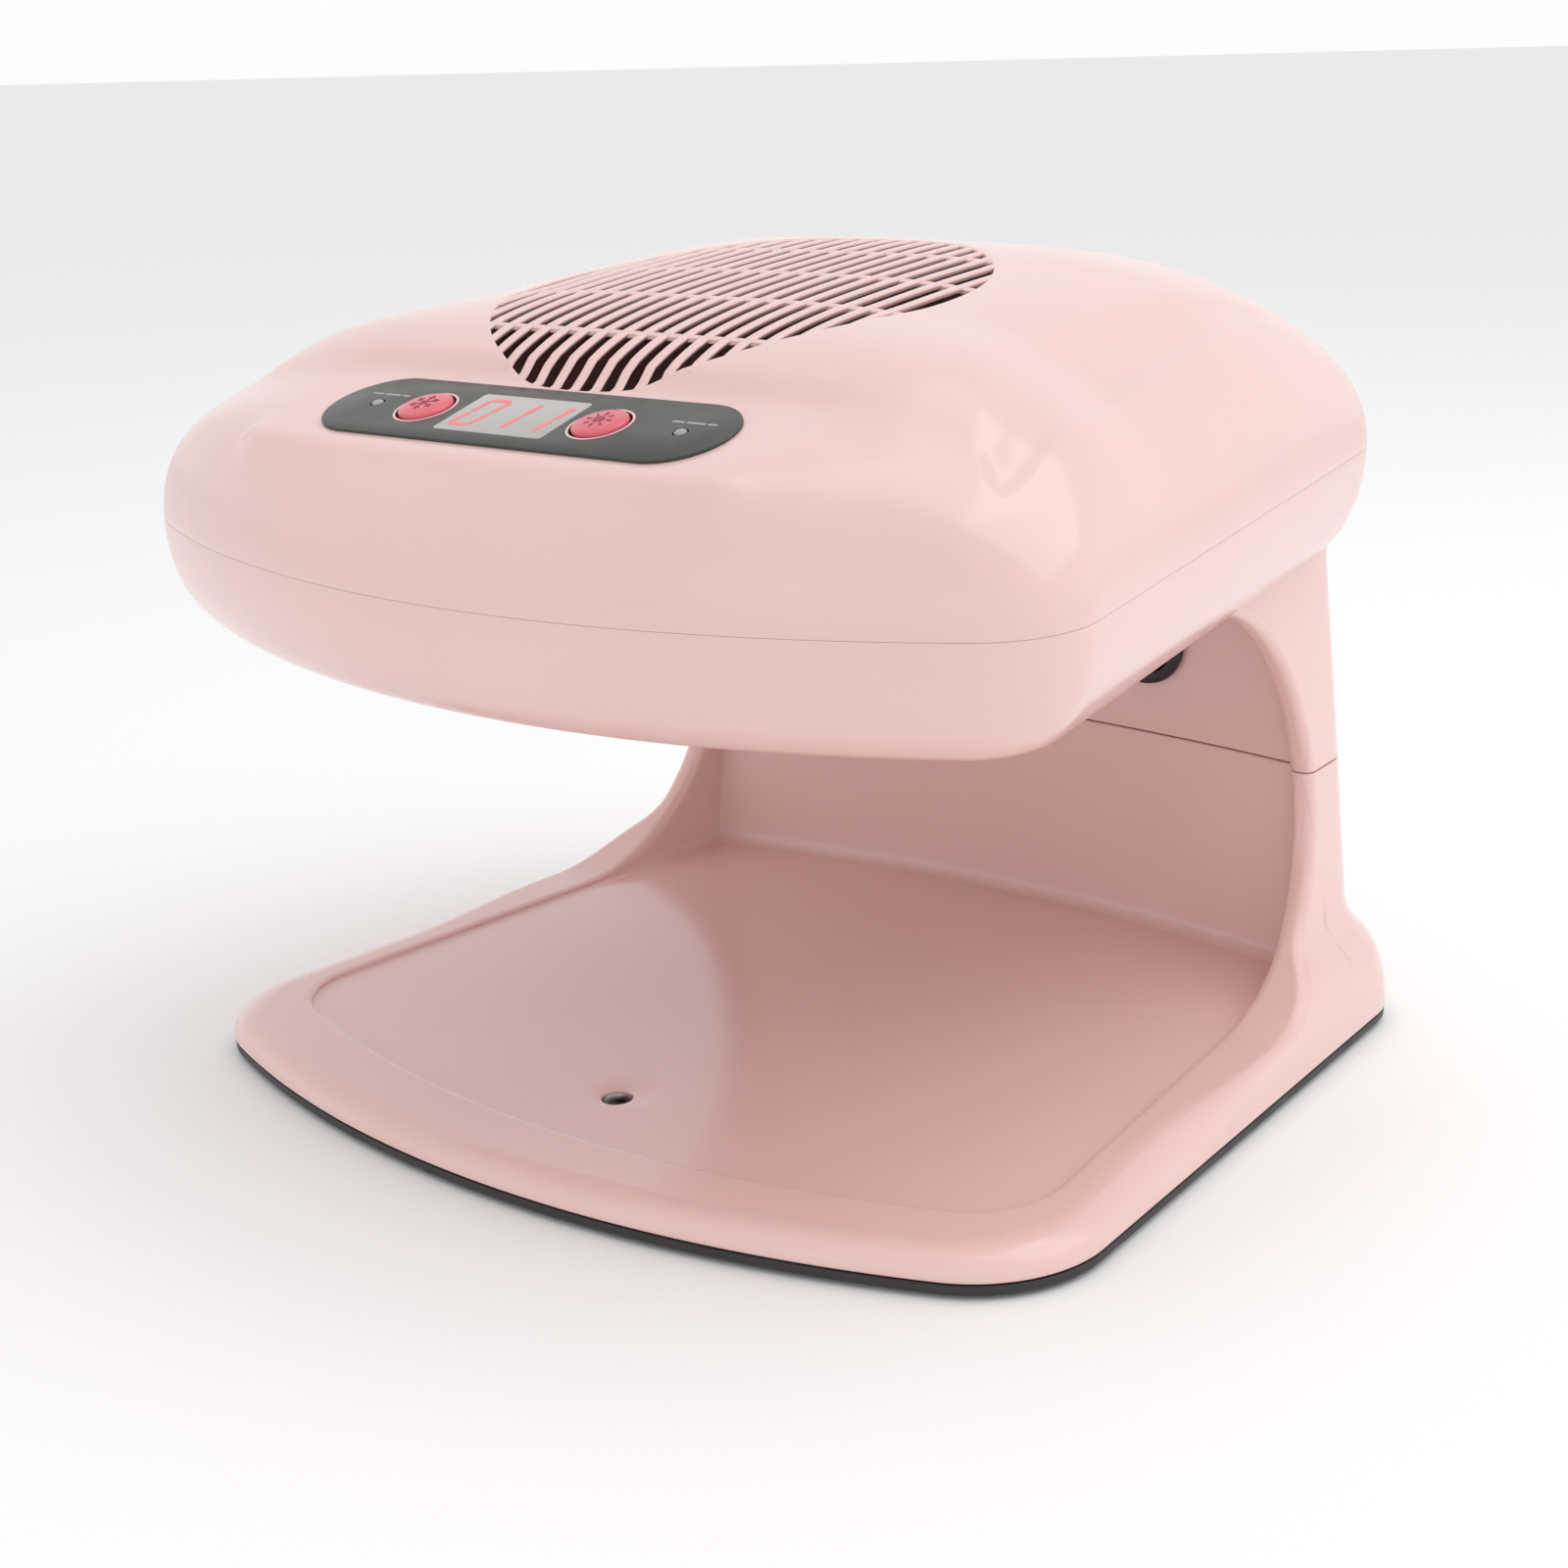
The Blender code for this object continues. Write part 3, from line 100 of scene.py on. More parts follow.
RIB_ROWS = (-0.036, -0.012, 0.012, 0.036)
OUTLET_R = 0.0500
PANEL_Y, PANEL_Z, PANEL_TILT = -0.077, 0.1563, 0.2915
PANEL = Matrix.Translation((0, PANEL_Y, PANEL_Z)) @ Matrix.Rotation(PANEL_TILT, 4, "X")
PANEL_HALF = (0.0520, 0.0124)
WINDOW_X, WINDOW_HALF = -0.0026, (0.0145, 0.0082)
HOT_X, COOL_X, BUTTON_R = 0.0206, -0.0265, 0.0060
LED_X = (-0.0405, 0.0405)
SENSOR_Y, SENSOR_R = -0.0590, 0.0031
SWITCH_X, SWITCH_Z, SWITCH_R, SWITCH_BORE = 0.041, 0.0860, 0.0112, 0.0094
FEET = ((-0.085, -0.062), (0.085, -0.062), (-0.078, 0.088), (0.078, 0.088))
FOOT_R = 0.0075
BASE_SCREWS = ((-0.088, -0.030), (0.088, -0.030), (-0.074, 0.076), (0.074, 0.076))
HEAD_SCREWS = ((-0.092, -0.062), (0.092, -0.062), (-0.074, 0.062), (0.074, 0.062))


def tray_z(y):
    """Height of the tray rim."""
    return TRAY_Z0 + TRAY_SLOPE * y


def part_z(y):
    """Height of the parting plane of the head."""
    return PART_Z0 + PART_SLOPE * y


def under_z(y):
    """Height of the head's underside."""
    return part_z(y) - PAN_DEPTH


# ---- outlines
N_ARC, N_CORNER, N_SIDE, N_BACK = 26, 18, 30, 26


def corner_circle(half, taper, arc_y, arc_r, fillet, front):
    """Centre of the circle that rounds one side edge into the front or rear arc."""
    scale = math.sqrt(1 + taper * taper)
    reach = half / scale - fillet
    base = np.array((reach / scale, reach * taper / scale))
    along = np.array((-taper / scale, 1 / scale))
    delta = base - np.array((0.0, arc_y))
    half_b = along @ delta
    root = math.sqrt(half_b ** 2 - delta @ delta + (arc_r - fillet) ** 2)
    return base + along * (-half_b - root if front else -half_b + root)


def arc(centre, radius, start, end, steps):
    """Points on an arc, leaving out the last one."""
    turn = start + (end - start) * np.arange(steps) / steps
    return np.stack((centre[0] + radius * np.cos(turn), centre[1] + radius * np.sin(turn)), 1)


def half_plan(half, taper, front, front_r, rear, rear_r, front_fillet, rear_fillet):
    """Right half of a plan outline, from the middle of the front to the middle of the rear."""
    front_c = (0.0, front + front_r)
    rear_c = (0.0, rear - rear_r)
    low = corner_circle(half, taper, front_c[1], front_r, front_fillet, True)
    high = corner_circle(half, taper, rear_c[1], rear_r, rear_fillet, False)
    side = math.atan(taper)
    low_turn = math.atan2(low[1] - front_c[1], low[0])
    high_turn = math.atan2(high[1] - rear_c[1], high[0])
    edge = np.array((math.cos(side), math.sin(side)))
    start = low + front_fillet * edge
    end = high + rear_fillet * edge
    share = (np.arange(N_SIDE) / N_SIDE)[:, None]
    return np.concatenate((
        arc(front_c, front_r, -math.pi / 2, low_turn, N_ARC),
        arc(low, front_fillet, low_turn, side, N_CORNER),
        start + (end - start) * share,
        arc(high, rear_fillet, side, high_turn, N_CORNER),
        arc(rear_c, rear_r, high_turn, math.pi / 2, N_BACK),
        [(0.0, rear)],
    ))


def whole(half):
    """Close a right half outline with its mirror image."""
    left = half[-2:0:-1].copy()
    left[:, 0] *= -1
    return np.concatenate((half, left))


def base_half(side, rear, front):
    """Base footprint pulled in by separate side, rear and front insets."""
    return half_plan(
        BASE_HALF - side, BASE_TAPER, BASE_FRONT + front, BASE_FRONT_R - front,
        BASE_REAR - rear, BASE_REAR_R - rear,
        max(BASE_FRONT_FILLET - side, 0.004), max(BASE_REAR_FILLET - 0.5 * side, 0.004),
    )


def hand_half(z, inset):
    """Outline of the hand space between the cheeks, pulled in by an inset."""
    return half_plan(
        BASE_HALF - side_inset(z) - COL_WALL - inset, HAND_TAPER,
        HAND_FRONT + inset, BASE_FRONT_R - inset, BACK_Y - inset, BACK_R - inset,
        HAND_FRONT_FILLET - 0.6 * inset, HAND_REAR_FILLET,
    )


def head_half(inset):
    """Head outline at the parting plane, pulled in all round."""
    return half_plan(
        HEAD_HALF - inset, HEAD_TAPER, HEAD_FRONT + inset, HEAD_FRONT_R - inset,
        HEAD_REAR - inset, HEAD_REAR_R - inset,
        HEAD_FRONT_FILLET - 0.6 * inset, HEAD_REAR_FILLET - 0.6 * inset,
    )


# ---- meshes
def crease(mesh, angle=32):
    """Shade a mesh smooth, with sharp creases above an angle in degrees."""
    mesh.shade_smooth()
    mesh.set_sharp_from_angle(angle=math.radians(angle))


def from_bmesh(name, bm, angle=32):
    """Turn an edit mesh into an object with outward normals."""
    bmesh.ops.recalc_face_normals(bm, faces=bm.faces)
    mesh = bpy.data.meshes.new(name)
    bm.to_mesh(mesh)
    bm.free()
    obj = bpy.data.objects.new(name, mesh)
    COLLECTION.objects.link(obj)
    crease(mesh, angle)
    return obj


def skin(bm, rings, profile_closed=False, caps=False, matrix=None):
    """Quads through equal closed rings of points."""
    layers = []
    for ring in rings:
        points = [Vector(p) for p in ring]
        if matrix is not None:
            points = [matrix @ p for p in points]
        layers.append([bm.verts.new(p) for p in points])
    count = len(layers[0])
    pairs = list(zip(layers, layers[1:]))
    if profile_closed:
        pairs.append((layers[-1], layers[0]))
    for low, high in pairs:
        for step in range(count):
            after = (step + 1) % count
            bm.faces.new((low[step], low[after], high[after], high[step]))
    if caps:
        bm.faces.new(list(reversed(layers[0])))
        bm.faces.new(layers[-1])


def loft(name, rings, **how):
    """One object through rings of points."""
    bm = bmesh.new()
    skin(bm, rings, **how)
    bmesh.ops.remove_doubles(bm, verts=bm.verts, dist=2e-7)
    return from_bmesh(name, bm)


def lathe_rings(profile, count):
    """Rings of points for a turned shape; a radius of zero becomes a tiny ring."""
    turn = 2 * math.pi * np.arange(count) / count
    return [
        [(max(r, 1e-6) * math.cos(a), max(r, 1e-6) * math.sin(a), z) for a in turn]
        for r, z in profile
    ]


def lathe(name, profile, matrix, count=64, closed=False):
    """Turned piece from (radius, z) points, axis to axis or as a closed ring."""
    bm = bmesh.new()
    skin(bm, lathe_rings(profile, count), profile_closed=closed, caps=not closed, matrix=matrix)
    bmesh.ops.remove_doubles(bm, verts=bm.verts, dist=3e-6)
    return from_bmesh(name, bm)


def stadium(half_long, half_wide, steps=28):
    """Outline (x, y) with half-round ends."""
    flat = half_long - half_wide
    right = arc((flat, 0), half_wide, -math.pi / 2, math.pi / 2, steps)
    left = arc((-flat, 0), half_wide, math.pi / 2, 1.5 * math.pi, steps)
    ends = ([(flat, half_wide)], [(-flat, -half_wide)])
    return np.concatenate((right, ends[0], left, ends[1]))


def rounded_rect(half_x, half_y, radius, steps=8):
    """Outline (x, y) of a rectangle with rounded corners."""
    parts = []
    for corner, (sx, sy) in enumerate(((1, 1), (-1, 1), (-1, -1), (1, -1))):
        centre = (sx * (half_x - radius), sy * (half_y - radius))
        start = corner * math.pi / 2
        turn = start + math.pi / 2 * np.arange(steps + 1) / steps
        parts.append(np.stack((
            centre[0] + radius * np.cos(turn), centre[1] + radius * np.sin(turn)), 1))
    return np.concatenate(parts)


def plate(bm, outline, low, high, matrix, edge=0.0):
    """Flat closed piece with a rounded upper edge, added to an edit mesh."""
    centre = outline.mean(0)
    reach = np.linalg.norm(outline - centre, axis=1).max()
    rings = [[(x, y, low) for x, y in outline]]
    steps = 4 if edge else 0
    for step in range(steps + 1):
        turn = 0.5 * math.pi * step / steps if steps else 0.0
        pull = edge * (1 - math.cos(turn)) / reach
        rise = high - edge + edge * math.sin(turn)
        rings.append([(*(p + (centre - p) * pull), rise) for p in outline])
    skin(bm, rings, caps=True, matrix=matrix)


def plates(name, items, matrix):
    """Several flat pieces in one object; each item is (outline, low, high, edge)."""
    bm = bmesh.new()
    for outline, low, high, edge in items:
        plate(bm, np.asarray(outline, float), low, high, matrix, edge)
    return from_bmesh(name, bm)


def cylinder_into(bm, radius, low, high, matrix, count=64):
    """Closed cylinder added to an edit mesh."""
    turn = 2 * math.pi * np.arange(count) / count
    ring = np.stack((radius * np.cos(turn), radius * np.sin(turn)), 1)
    plate(bm, ring, low, high, matrix)


def cut(target, bm):
    """Take the closed shapes of an edit mesh out of a piece."""
    cutter = from_bmesh("cutter", bm)
    modifier = target.modifiers.new("cut", "BOOLEAN")
    modifier.object = cutter
    modifier.solver = "EXACT"
    bpy.context.view_layer.update()
    graph = bpy.context.evaluated_depsgraph_get()
    mesh = bpy.data.meshes.new_from_object(target.evaluated_get(graph))
    target.modifiers.clear()
    target.data = mesh
    bpy.data.objects.remove(cutter, do_unlink=True)
    crease(mesh)


# ---- shape of the base and column
SKIRT_Z = PLATE_TOP + GAP
FLARE_Z = PLATE_TOP + 0.0012
FLARE_TOP = 0.0235
FLARE_IN = 0.0098
FLARE_END = math.radians(66)
FLARE_JOIN = 0.0290
REAR_IN = (0.0071, 0.0075, 0.0080)      # rear face's inset at the foot, seam and top
RIM_WIDE = 0.0088       # rounding of the tray's rim where it is widest
COLUMN_SUNK = 0.008     # how far the column runs up into the head
CUT_LOW = tray_z(CUT_Y)
CUT_HIGH = under_z(CUT_Y)
CUT_MID = 0.5 * (CUT_LOW + CUT_HIGH)
CUT_HALF = 0.5 * (CUT_HIGH - CUT_LOW)
EDGE_R = 0.0025         # rounding of the cheeks' front edges
SEAM_CHAMFER = 0.0003


def side_inset(z):
    """How far the outer face of the cheeks stands in from the footprint."""
    return float(np.interp(z, (FLARE_TOP, SEAM_Z, COLUMN_TOP_Z), (FLARE_IN, 0.0140, 0.0195)))


def flare_curve():
    """Heights and insets of the swelling foot, ending in a soft inside corner."""
    points = []
    for turn in np.linspace(0, FLARE_END, 24):
        points.append((
            FLARE_Z + (FLARE_TOP - FLARE_Z) * math.sin(turn), FLARE_IN * (1 - math.cos(turn))))
    start = np.array(points[-1])
    slope = (FLARE_TOP - FLARE_Z) * math.cos(FLARE_END) / (FLARE_IN * math.sin(FLARE_END))
    middle = np.array((start[0] + slope * (FLARE_IN - start[1]), FLARE_IN))
    end = np.array((FLARE_JOIN, side_inset(FLARE_JOIN)))
    for t in np.linspace(0, 1, 14)[1:]:
        points.append(tuple(start * (1 - t) ** 2 + middle * 2 * t * (1 - t) + end * t * t))
    return np.array(points)


FLARE = flare_curve()


def skin_inset(z):
    """Side inset of the outer skin at a height."""
    if z >= FLARE_JOIN:
        return side_inset(z)
    return float(np.interp(z, FLARE[:, 0], FLARE[:, 1]))


def rear_inset(z):
    """Rear inset of the outer skin at a height."""
    if z >= FLARE_JOIN:
        return float(np.interp(z, (FLARE_JOIN, SEAM_Z, COLUMN_TOP_Z), REAR_IN))
    return skin_inset(z) * REAR_IN[0] / side_inset(FLARE_JOIN)


def cheek_edge(y, depth, upper):
    """Height of the C-shaped cut's offset curve at y, below or above the hand space."""
    share = (y - CUT_Y) / (CUT_DEPTH + depth)
    if share <= 0:
        return (under_z(y) + depth) if upper else (tray_z(y) - depth)
    reach = (CUT_HALF + depth) * math.sqrt(max(0.0, 1 - share * share))
    return CUT_MID + reach if upper else CUT_MID - reach


def ease(t):
    """Smooth step from 0 to 1."""
    t = min(max(t, 0.0), 1.0)
    return t * t * (3 - 2 * t)


OUTER = base_half(0, 0, 0)
FIRST = N_ARC + N_CORNER
SIDE_START = OUTER[FIRST][1]
SIDE_END = OUTER[FIRST + N_SIDE][1]
HAND = hand_half(0.02, 0.0)
HAND_START = HAND[FIRST][1]
HAND_END = HAND[FIRST + N_SIDE][1]
HAND_PULLED = hand_half(0.02, 0.001)
START_SHIFT = (HAND_PULLED[FIRST][1] - HAND_START) / 0.001
END_SHIFT = (HAND_PULLED[FIRST + N_SIDE][1] - HAND_END) / 0.001
EDGE_Y = CUT_Y + CUT_DEPTH
SHIFT_Y = 0.050         # behind this the inset points drift forward to meet the rear corner


class Section:
    """One upright slice through the wall of the base or column."""

    def __init__(self, index=None, y=None):
        self.index = index
        self.y = y if y is not None else OUTER[index][1]
        if y is not None:
            front = 1 - ease((y - SIDE_START) / (-0.015 - SIDE_START))
            self.hand_y = y + (HAND_START - SIDE_START) * front
            self.shift = START_SHIFT * front
            if y > SHIFT_Y:
                self.shift = END_SHIFT * min(1.0, (y - SHIFT_Y) / (EDGE_Y - SHIFT_Y))
            if y > EDGE_Y + EDGE_R:
                share = (y - EDGE_Y - EDGE_R) / (SIDE_END - EDGE_Y - EDGE_R)
                self.hand_y = EDGE_Y + EDGE_R + share * (HAND_END - EDGE_Y - EDGE_R)

    cache = {}

    @classmethod
    def outline(cls, kind, a, b, c):
        """Remembered outlines."""
        key = (kind, round(a, 7), round(b, 7), round(c, 7))
        if key not in cls.cache:
            cls.cache[key] = base_half(a, b, c) if kind == "base" else hand_half(a, b)
        return cls.cache[key]

    def outer(self, z, extra=0.0):
        """Point of the outer skin."""
        if self.index is None:
            return np.array((BASE_HALF - BASE_TAPER * self.y - skin_inset(z) - extra, self.y))
        side = skin_inset(z) + extra
        return self.outline("base", side, rear_inset(z) + extra * 0.7, side * 0.77)[self.index]

    def inner(self, z, inset=0.0):
        """Point of the inner face; an inset moves it into the hand space."""
        if self.index is None:
            y = self.hand_y + self.shift * max(inset, 0.0)
            half = BASE_HALF - side_inset(z) - COL_WALL - HAND_TAPER * y
            return np.array((half - inset, y))
        return self.outline("hand", z, inset, 0.0)[self.index]


def side_levels():
    """Positions along the straight side, close together where the cheek's edge turns."""
    levels = list(np.linspace(SIDE_START, -0.020, 10))
    levels += list(np.linspace(-0.020, CUT_Y, 18))[1:]
    levels += [CUT_Y + CUT_DEPTH * math.sin(a) for a in np.linspace(0, math.pi / 2, 34)[1:]]
    return levels


TAIL = [EDGE_Y + EDGE_R * (1 - math.sin(a)) for a in np.linspace(math.pi / 2, 0, 7)[1:]]
TAIL += list(np.linspace(EDGE_Y + EDGE_R, SIDE_END, 5))[1:-1]


def base_profile(section, seam):
    """Closed loop of one slice: skirt, foot, cheek, inner face, tray and underside."""
    y = section.y
    top = SEAM_Z - GAP / 2 if seam else cheek_edge(y, 0.0, False)
    calm = 1 - ease((y + 0.020) / (CUT_Y + 0.020))
    height = top - FLARE_Z
    deep = EDGE_R + (0.97 * height - EDGE_R) * calm
    deep = min(deep, 0.97 * height)
    wide = EDGE_R + (RIM_WIDE - EDGE_R) * calm
    drop = top - (tray_z(section.y) - DISH_DEPTH)
    turn_top = math.pi / 2
    if seam:
        turn_top = math.asin(max(0.0, 1 - (y - EDGE_Y) / EDGE_R))
    lip = SEAM_CHAMFER if seam else 0.0
    points = []

    def lower(value):
        """Height under the rim that follows the tray's slope."""
        if seam or y > CUT_Y:
            return cheek_edge(y, value, False)
        return None

    def put(xy, z):
        """Add a point."""
        points.append((xy[0], xy[1], z))

    def put_rim(maker, amount, depth, extra_z=0.0):
        """Add a point at a depth under the rim."""
        z = lower(depth)
        if z is None:
            xy = maker(top - depth, amount)
            z = tray_z(xy[1]) - depth
            put(xy, z)
        else:
            z = min(z + extra_z, top - lip)
            put(maker(z, amount), z)

    put(section.outer(FLARE_Z, 0.0006), SKIRT_Z)
    put(section.outer(FLARE_Z, 0.0001), FLARE_Z - 0.0005)
    put(section.outer(FLARE_Z), FLARE_Z)
    start = lower(deep)
    start = top - deep if start is None else start
    for t in np.linspace(0, 1, 33)[1:-1]:
        z = FLARE_Z + (start - FLARE_Z) * t ** 1.7
        put(section.outer(z), z)
    spare = (top - lip - CUT_MID) if seam else 0.0
    for t in np.linspace(0, 1, 9):
        turn = turn_top * t
        put_rim(section.outer, wide * (1 - math.cos(turn)), deep * (1 - math.sin(turn)), spare * t * t)
    far = wide * (1 - math.cos(turn_top))
    c_deep = min(EDGE_R, 0.45 * drop)
    c_wide = max(c_deep, 0.0018) if not seam else EDGE_R
    near = c_wide * (1 - math.cos(turn_top))
    for t in (0.0, 0.33, 0.67, 1.0):
        if seam:
            xy = section.outer(top, far + lip) * (1 - t) + section.inner(top, -near - lip) * t
            put(xy, top)
        else:
            outside, inside = section.outer(top, far), section.inner(top, -near)
            xy = outside * (1 - t) + inside * t
            if t in (0.0, 1.0):     # kept apart from the rim's own points
                xy = xy + 1e-5 * (inside - outside) * (20 if t == 0 else -20)
            put(xy, tray_z(xy[1]) if y <= CUT_Y else top)
    for t in np.linspace(1, 0, 7):
        turn = turn_top * t
        put_rim(
            lambda z, a: section.inner(z, -a), c_wide * (1 - math.cos(turn)),
            c_deep * (1 - math.sin(turn)), spare * t * t)
    floor_deep = min(0.0032, 0.45 * drop)
    floor_wide = max(floor_deep, 0.0024)
    from_z = points[-1][2]
    for t in np.linspace(0, 1, 13)[1:-1]:
        xy = section.inner(from_z, 0.0)
        floor = tray_z(xy[1]) - DISH_DEPTH + floor_deep
        z = from_z + (floor - from_z) * t
        put(section.inner(z, 0.0), z)
    for turn in np.linspace(0, math.pi / 2, 7):
        level = tray_z(section.inner(0.02)[1]) - DISH_DEPTH
        xy = section.inner(level + 0.002, floor_wide * (1 - math.cos(turn)))
        put(xy, tray_z(xy[1]) - DISH_DEPTH + floor_deep * (1 - math.sin(turn)))
    edge = np.array(points[-1][:2])
    centre = np.array((0.0, SENSOR_Y))
    away = edge - centre
    away = away / np.linalg.norm(away)
    hole = SENSOR_R + GAP

    def floor_at(xy, down=0.0):
        """Add a point on the tray or under it."""
        put(xy, tray_z(xy[1]) - DISH_DEPTH - down)

    rim = centre + away * (hole + 0.0004)
    for t in (0.25, 0.5, 0.75, 0.93):
        floor_at(edge + (rim - edge) * t)
    floor_at(rim)
    floor_at(centre + away * (hole + 0.0001), 0.0001)
    floor_at(centre + away * hole, 0.0004)
    floor_at(centre + away * hole, WALL)
    for t in (0.6, 0.15):
        floor_at(rim + (edge - rim) * (1 - t), WALL)
    foot = section.outer(FLARE_Z, 0.0072)
    put(foot, max(tray_z(foot[1]) - DISH_DEPTH - WALL, FLARE_Z + 0.0006))
    put(section.outer(FLARE_Z, WALL), FLARE_Z + 0.0002)
    put(section.outer(FLARE_Z, WALL), SKIRT_Z)
    return points


def mirror_round(columns):
    """Join right-hand slices with their mirror images, front to rear and back."""
    left = [[(-x, y, z) for x, y, z in column] for column in columns[-2:0:-1]]
    return columns + left


columns = [base_profile(Section(index=i), False) for i in range(FIRST)]
columns += [base_profile(Section(y=y), False) for y in side_levels()]
columns += [base_profile(Section(y=y), True) for y in [EDGE_Y] + TAIL]
columns += [base_profile(Section(index=i), True) for i in range(FIRST + N_SIDE, len(OUTER))]
base_moulding = loft("base_moulding", mirror_round(columns), profile_closed=True)


def upper_profile(section, seam):
    """Closed loop of one slice of the upper column, sunk into the head."""
    y = section.y
    low = SEAM_Z + GAP / 2
    bottom = low if seam else max(cheek_edge(y, 0.0, True), low)
    turn_top = math.pi / 2
    if seam:
        turn_top = math.asin(max(0.0, 1 - (y - EDGE_Y) / EDGE_R))
    lip = SEAM_CHAMFER if seam else 0.0
    points = []
    high = under_z(y) + COLUMN_SUNK

    def put(xy, z):
        """Add a point."""
        points.append((xy[0], xy[1], z))

    start = max(cheek_edge(y, EDGE_R, True), bottom + lip + (EDGE_R if not seam else 0.0))
    if seam:
        start = max(start, bottom + lip + 0.0015)
    start = min(start, high - 0.0005)
    for t in np.linspace(0, 1, 22)[:-1]:
        z = high + (start - high) * t
        put(section.outer(z), z)
    for t in np.linspace(0, 1, 9):
        turn = turn_top * t
        z = cheek_edge(y, EDGE_R * (1 - math.sin(turn)), True)
        if seam:
            z = start + (bottom + lip - start) * t
        z = min(max(z, bottom + lip), start)
        put(section.outer(z, EDGE_R * (1 - math.cos(turn))), z)
    pull = EDGE_R * (1 - math.cos(turn_top))
    for t in (0.02, 0.35, 0.65, 0.98):
        a = section.outer(bottom, pull + lip)
        b = section.inner(bottom, -pull - lip)
        put(a + (b - a) * (t if not seam else round(t, 1)), bottom)
    for t in np.linspace(1, 0, 9):
        turn = turn_top * t
        z = cheek_edge(y, EDGE_R * (1 - math.sin(turn)), True)
        if seam:
            z = start + (bottom + lip - start) * t
        z = min(max(z, bottom + lip), start)
        put(section.inner(z, -EDGE_R * (1 - math.cos(turn))), z)
    for t in np.linspace(0, 1, 16)[1:]:
        z = start + (high - start) * t
        put(section.inner(z, 0.0), z)
    return points


columns = [upper_profile(Section(y=y), False) for y in side_levels() if y >= CUT_Y]
columns += [upper_profile(Section(y=y), True) for y in [EDGE_Y] + TAIL]
columns += [upper_profile(Section(index=i), True) for i in range(FIRST + N_SIDE, len(OUTER))]
left = [[(-x, y, z) for x, y, z in column] for column in columns[-2::-1]]
column_upper = loft("column_upper", columns + left, caps=True)

# ---- head pan
LINE = 0.00002          # half of the gap that shows between cover and pan
LIP = 0.00010           # rounding of the two edges at that gap


def lifted(outline, height):
    """Give a closed outline its heights."""
    return [(x, y, height(x, y)) for x, y in outline]


def hole_ring(outline, centre_y, radius):
    """Circle whose points face the points of an outline."""
    turn = np.arctan2(outline[:, 1] - centre_y, outline[:, 0])
    return np.stack((radius * np.cos(turn), centre_y + radius * np.sin(turn)), 1)


def lerp(a, b, t):
    """Mix two outlines."""
    return a + (b - a) * t


rings = [
    lifted(whole(head_half(LIP)), lambda x, y: part_z(y) - LINE),
    lifted(whole(head_half(LIP * 0.3)), lambda x, y: part_z(y) - LINE - LIP * 0.3),
]
for turn in np.linspace(0.010, math.pi / 2, 26):
    rings.append(lifted(
        whole(head_half(PAN_INSET * (1 - math.cos(turn)))),
        lambda x, y: part_z(y) - LINE - PAN_DEPTH * math.sin(turn)))
floor_edge = whole(head_half(PAN_INSET))
floor_hole = hole_ring(floor_edge, FAN_Y, OUTLET_R + 0.0005)
for t in (0.3, 0.7, 0.98, 1.0):
    rings.append(lifted(lerp(floor_edge, floor_hole, t), lambda x, y: under_z(y) - GAP / 2))
rings.append(lifted(floor_hole, lambda x, y: under_z(y) + WALL))
for turn in (math.pi / 2, 1.2, 0.8, 0.4, 0.0):
    inset = WALL + (PAN_INSET - 0.0004) * (1 - math.cos(turn))
    rings.append(lifted(
        whole(head_half(inset)), lambda x, y: part_z(y) - LINE - (PAN_DEPTH - WALL) * math.sin(turn)))
head_pan = loft("head_pan", rings, profile_closed=True)

# ---- top cover
def monotone(points):
    """Fine table of a monotone curve through the points, softened away from its ends."""
    xs = np.array([p[0] for p in points])
    ys = np.array([p[1] for p in points])
    step = np.diff(ys) / np.diff(xs)
    slope = np.concatenate(([step[0]], np.zeros(len(xs) - 2), [step[-1]]))
    for i in range(1, len(xs) - 1):
        if step[i - 1] * step[i] > 0:
            slope[i] = 2 * step[i - 1] * step[i] / (step[i - 1] + step[i])
    fine = np.linspace(xs[0], xs[-1], 1800)
    i = np.clip(np.searchsorted(xs, fine) - 1, 0, len(xs) - 2)
    span = xs[i + 1] - xs[i]
    t = (fine - xs[i]) / span
    value = (
        (2 * t ** 3 - 3 * t ** 2 + 1) * ys[i] + (t ** 3 - 2 * t ** 2 + t) * span * slope[i]
        + (3 * t ** 2 - 2 * t ** 3) * ys[i + 1] + (t ** 3 - t ** 2) * span * slope[i + 1])
    soft = value.copy()
    for place, y in enumerate(fine):
        reach = min(0.0045, 0.45 * (y - xs[0]), 0.45 * (xs[-1] - y))
        if reach > 0.0002:
            near = np.linspace(-reach, reach, 15)
            weight = 1 - (near / reach) ** 2
            soft[place] = np.sum(np.interp(y + near, fine, value) * weight) / weight.sum()
    return fine, soft


CROWN_Y, CROWN_H = monotone(CROWN)
HEAD_EDGE = head_half(0.0)
FACET_HALF = (0.0620, 0.0150)
FACET_SOFT = 0.0055
FACET_SINK = 0.0007
FACET_SHIFT = 0.0005
SHOULDER_POWER, SHOULDER_Y, SHOULDER_SOFT = 1.6, -0.050, 0.035      # fuller dome at the front
# leaf-shaped scoop on each side of the dome: y, inner edge x, outer edge x
SCOOP = np.array((
    (-0.0700, 0.1045, 0.1050), (-0.0600, 0.0920, 0.1065), (-0.0340, 0.0795, 0.1023),
    (-0.0040, 0.0740, 0.0953), (0.0240, 0.0740, 0.0903), (0.0500, 0.0755, 0.0855),
    (0.0780, 0.0795, 0.0800),
))
SCOOP_DEPTH, SCOOP_WIDE = 0.0016, 0.020


def smooth(t):
    """Smooth step on arrays."""
    t = np.clip(t, 0, 1)
    return t * t * (3 - 2 * t)


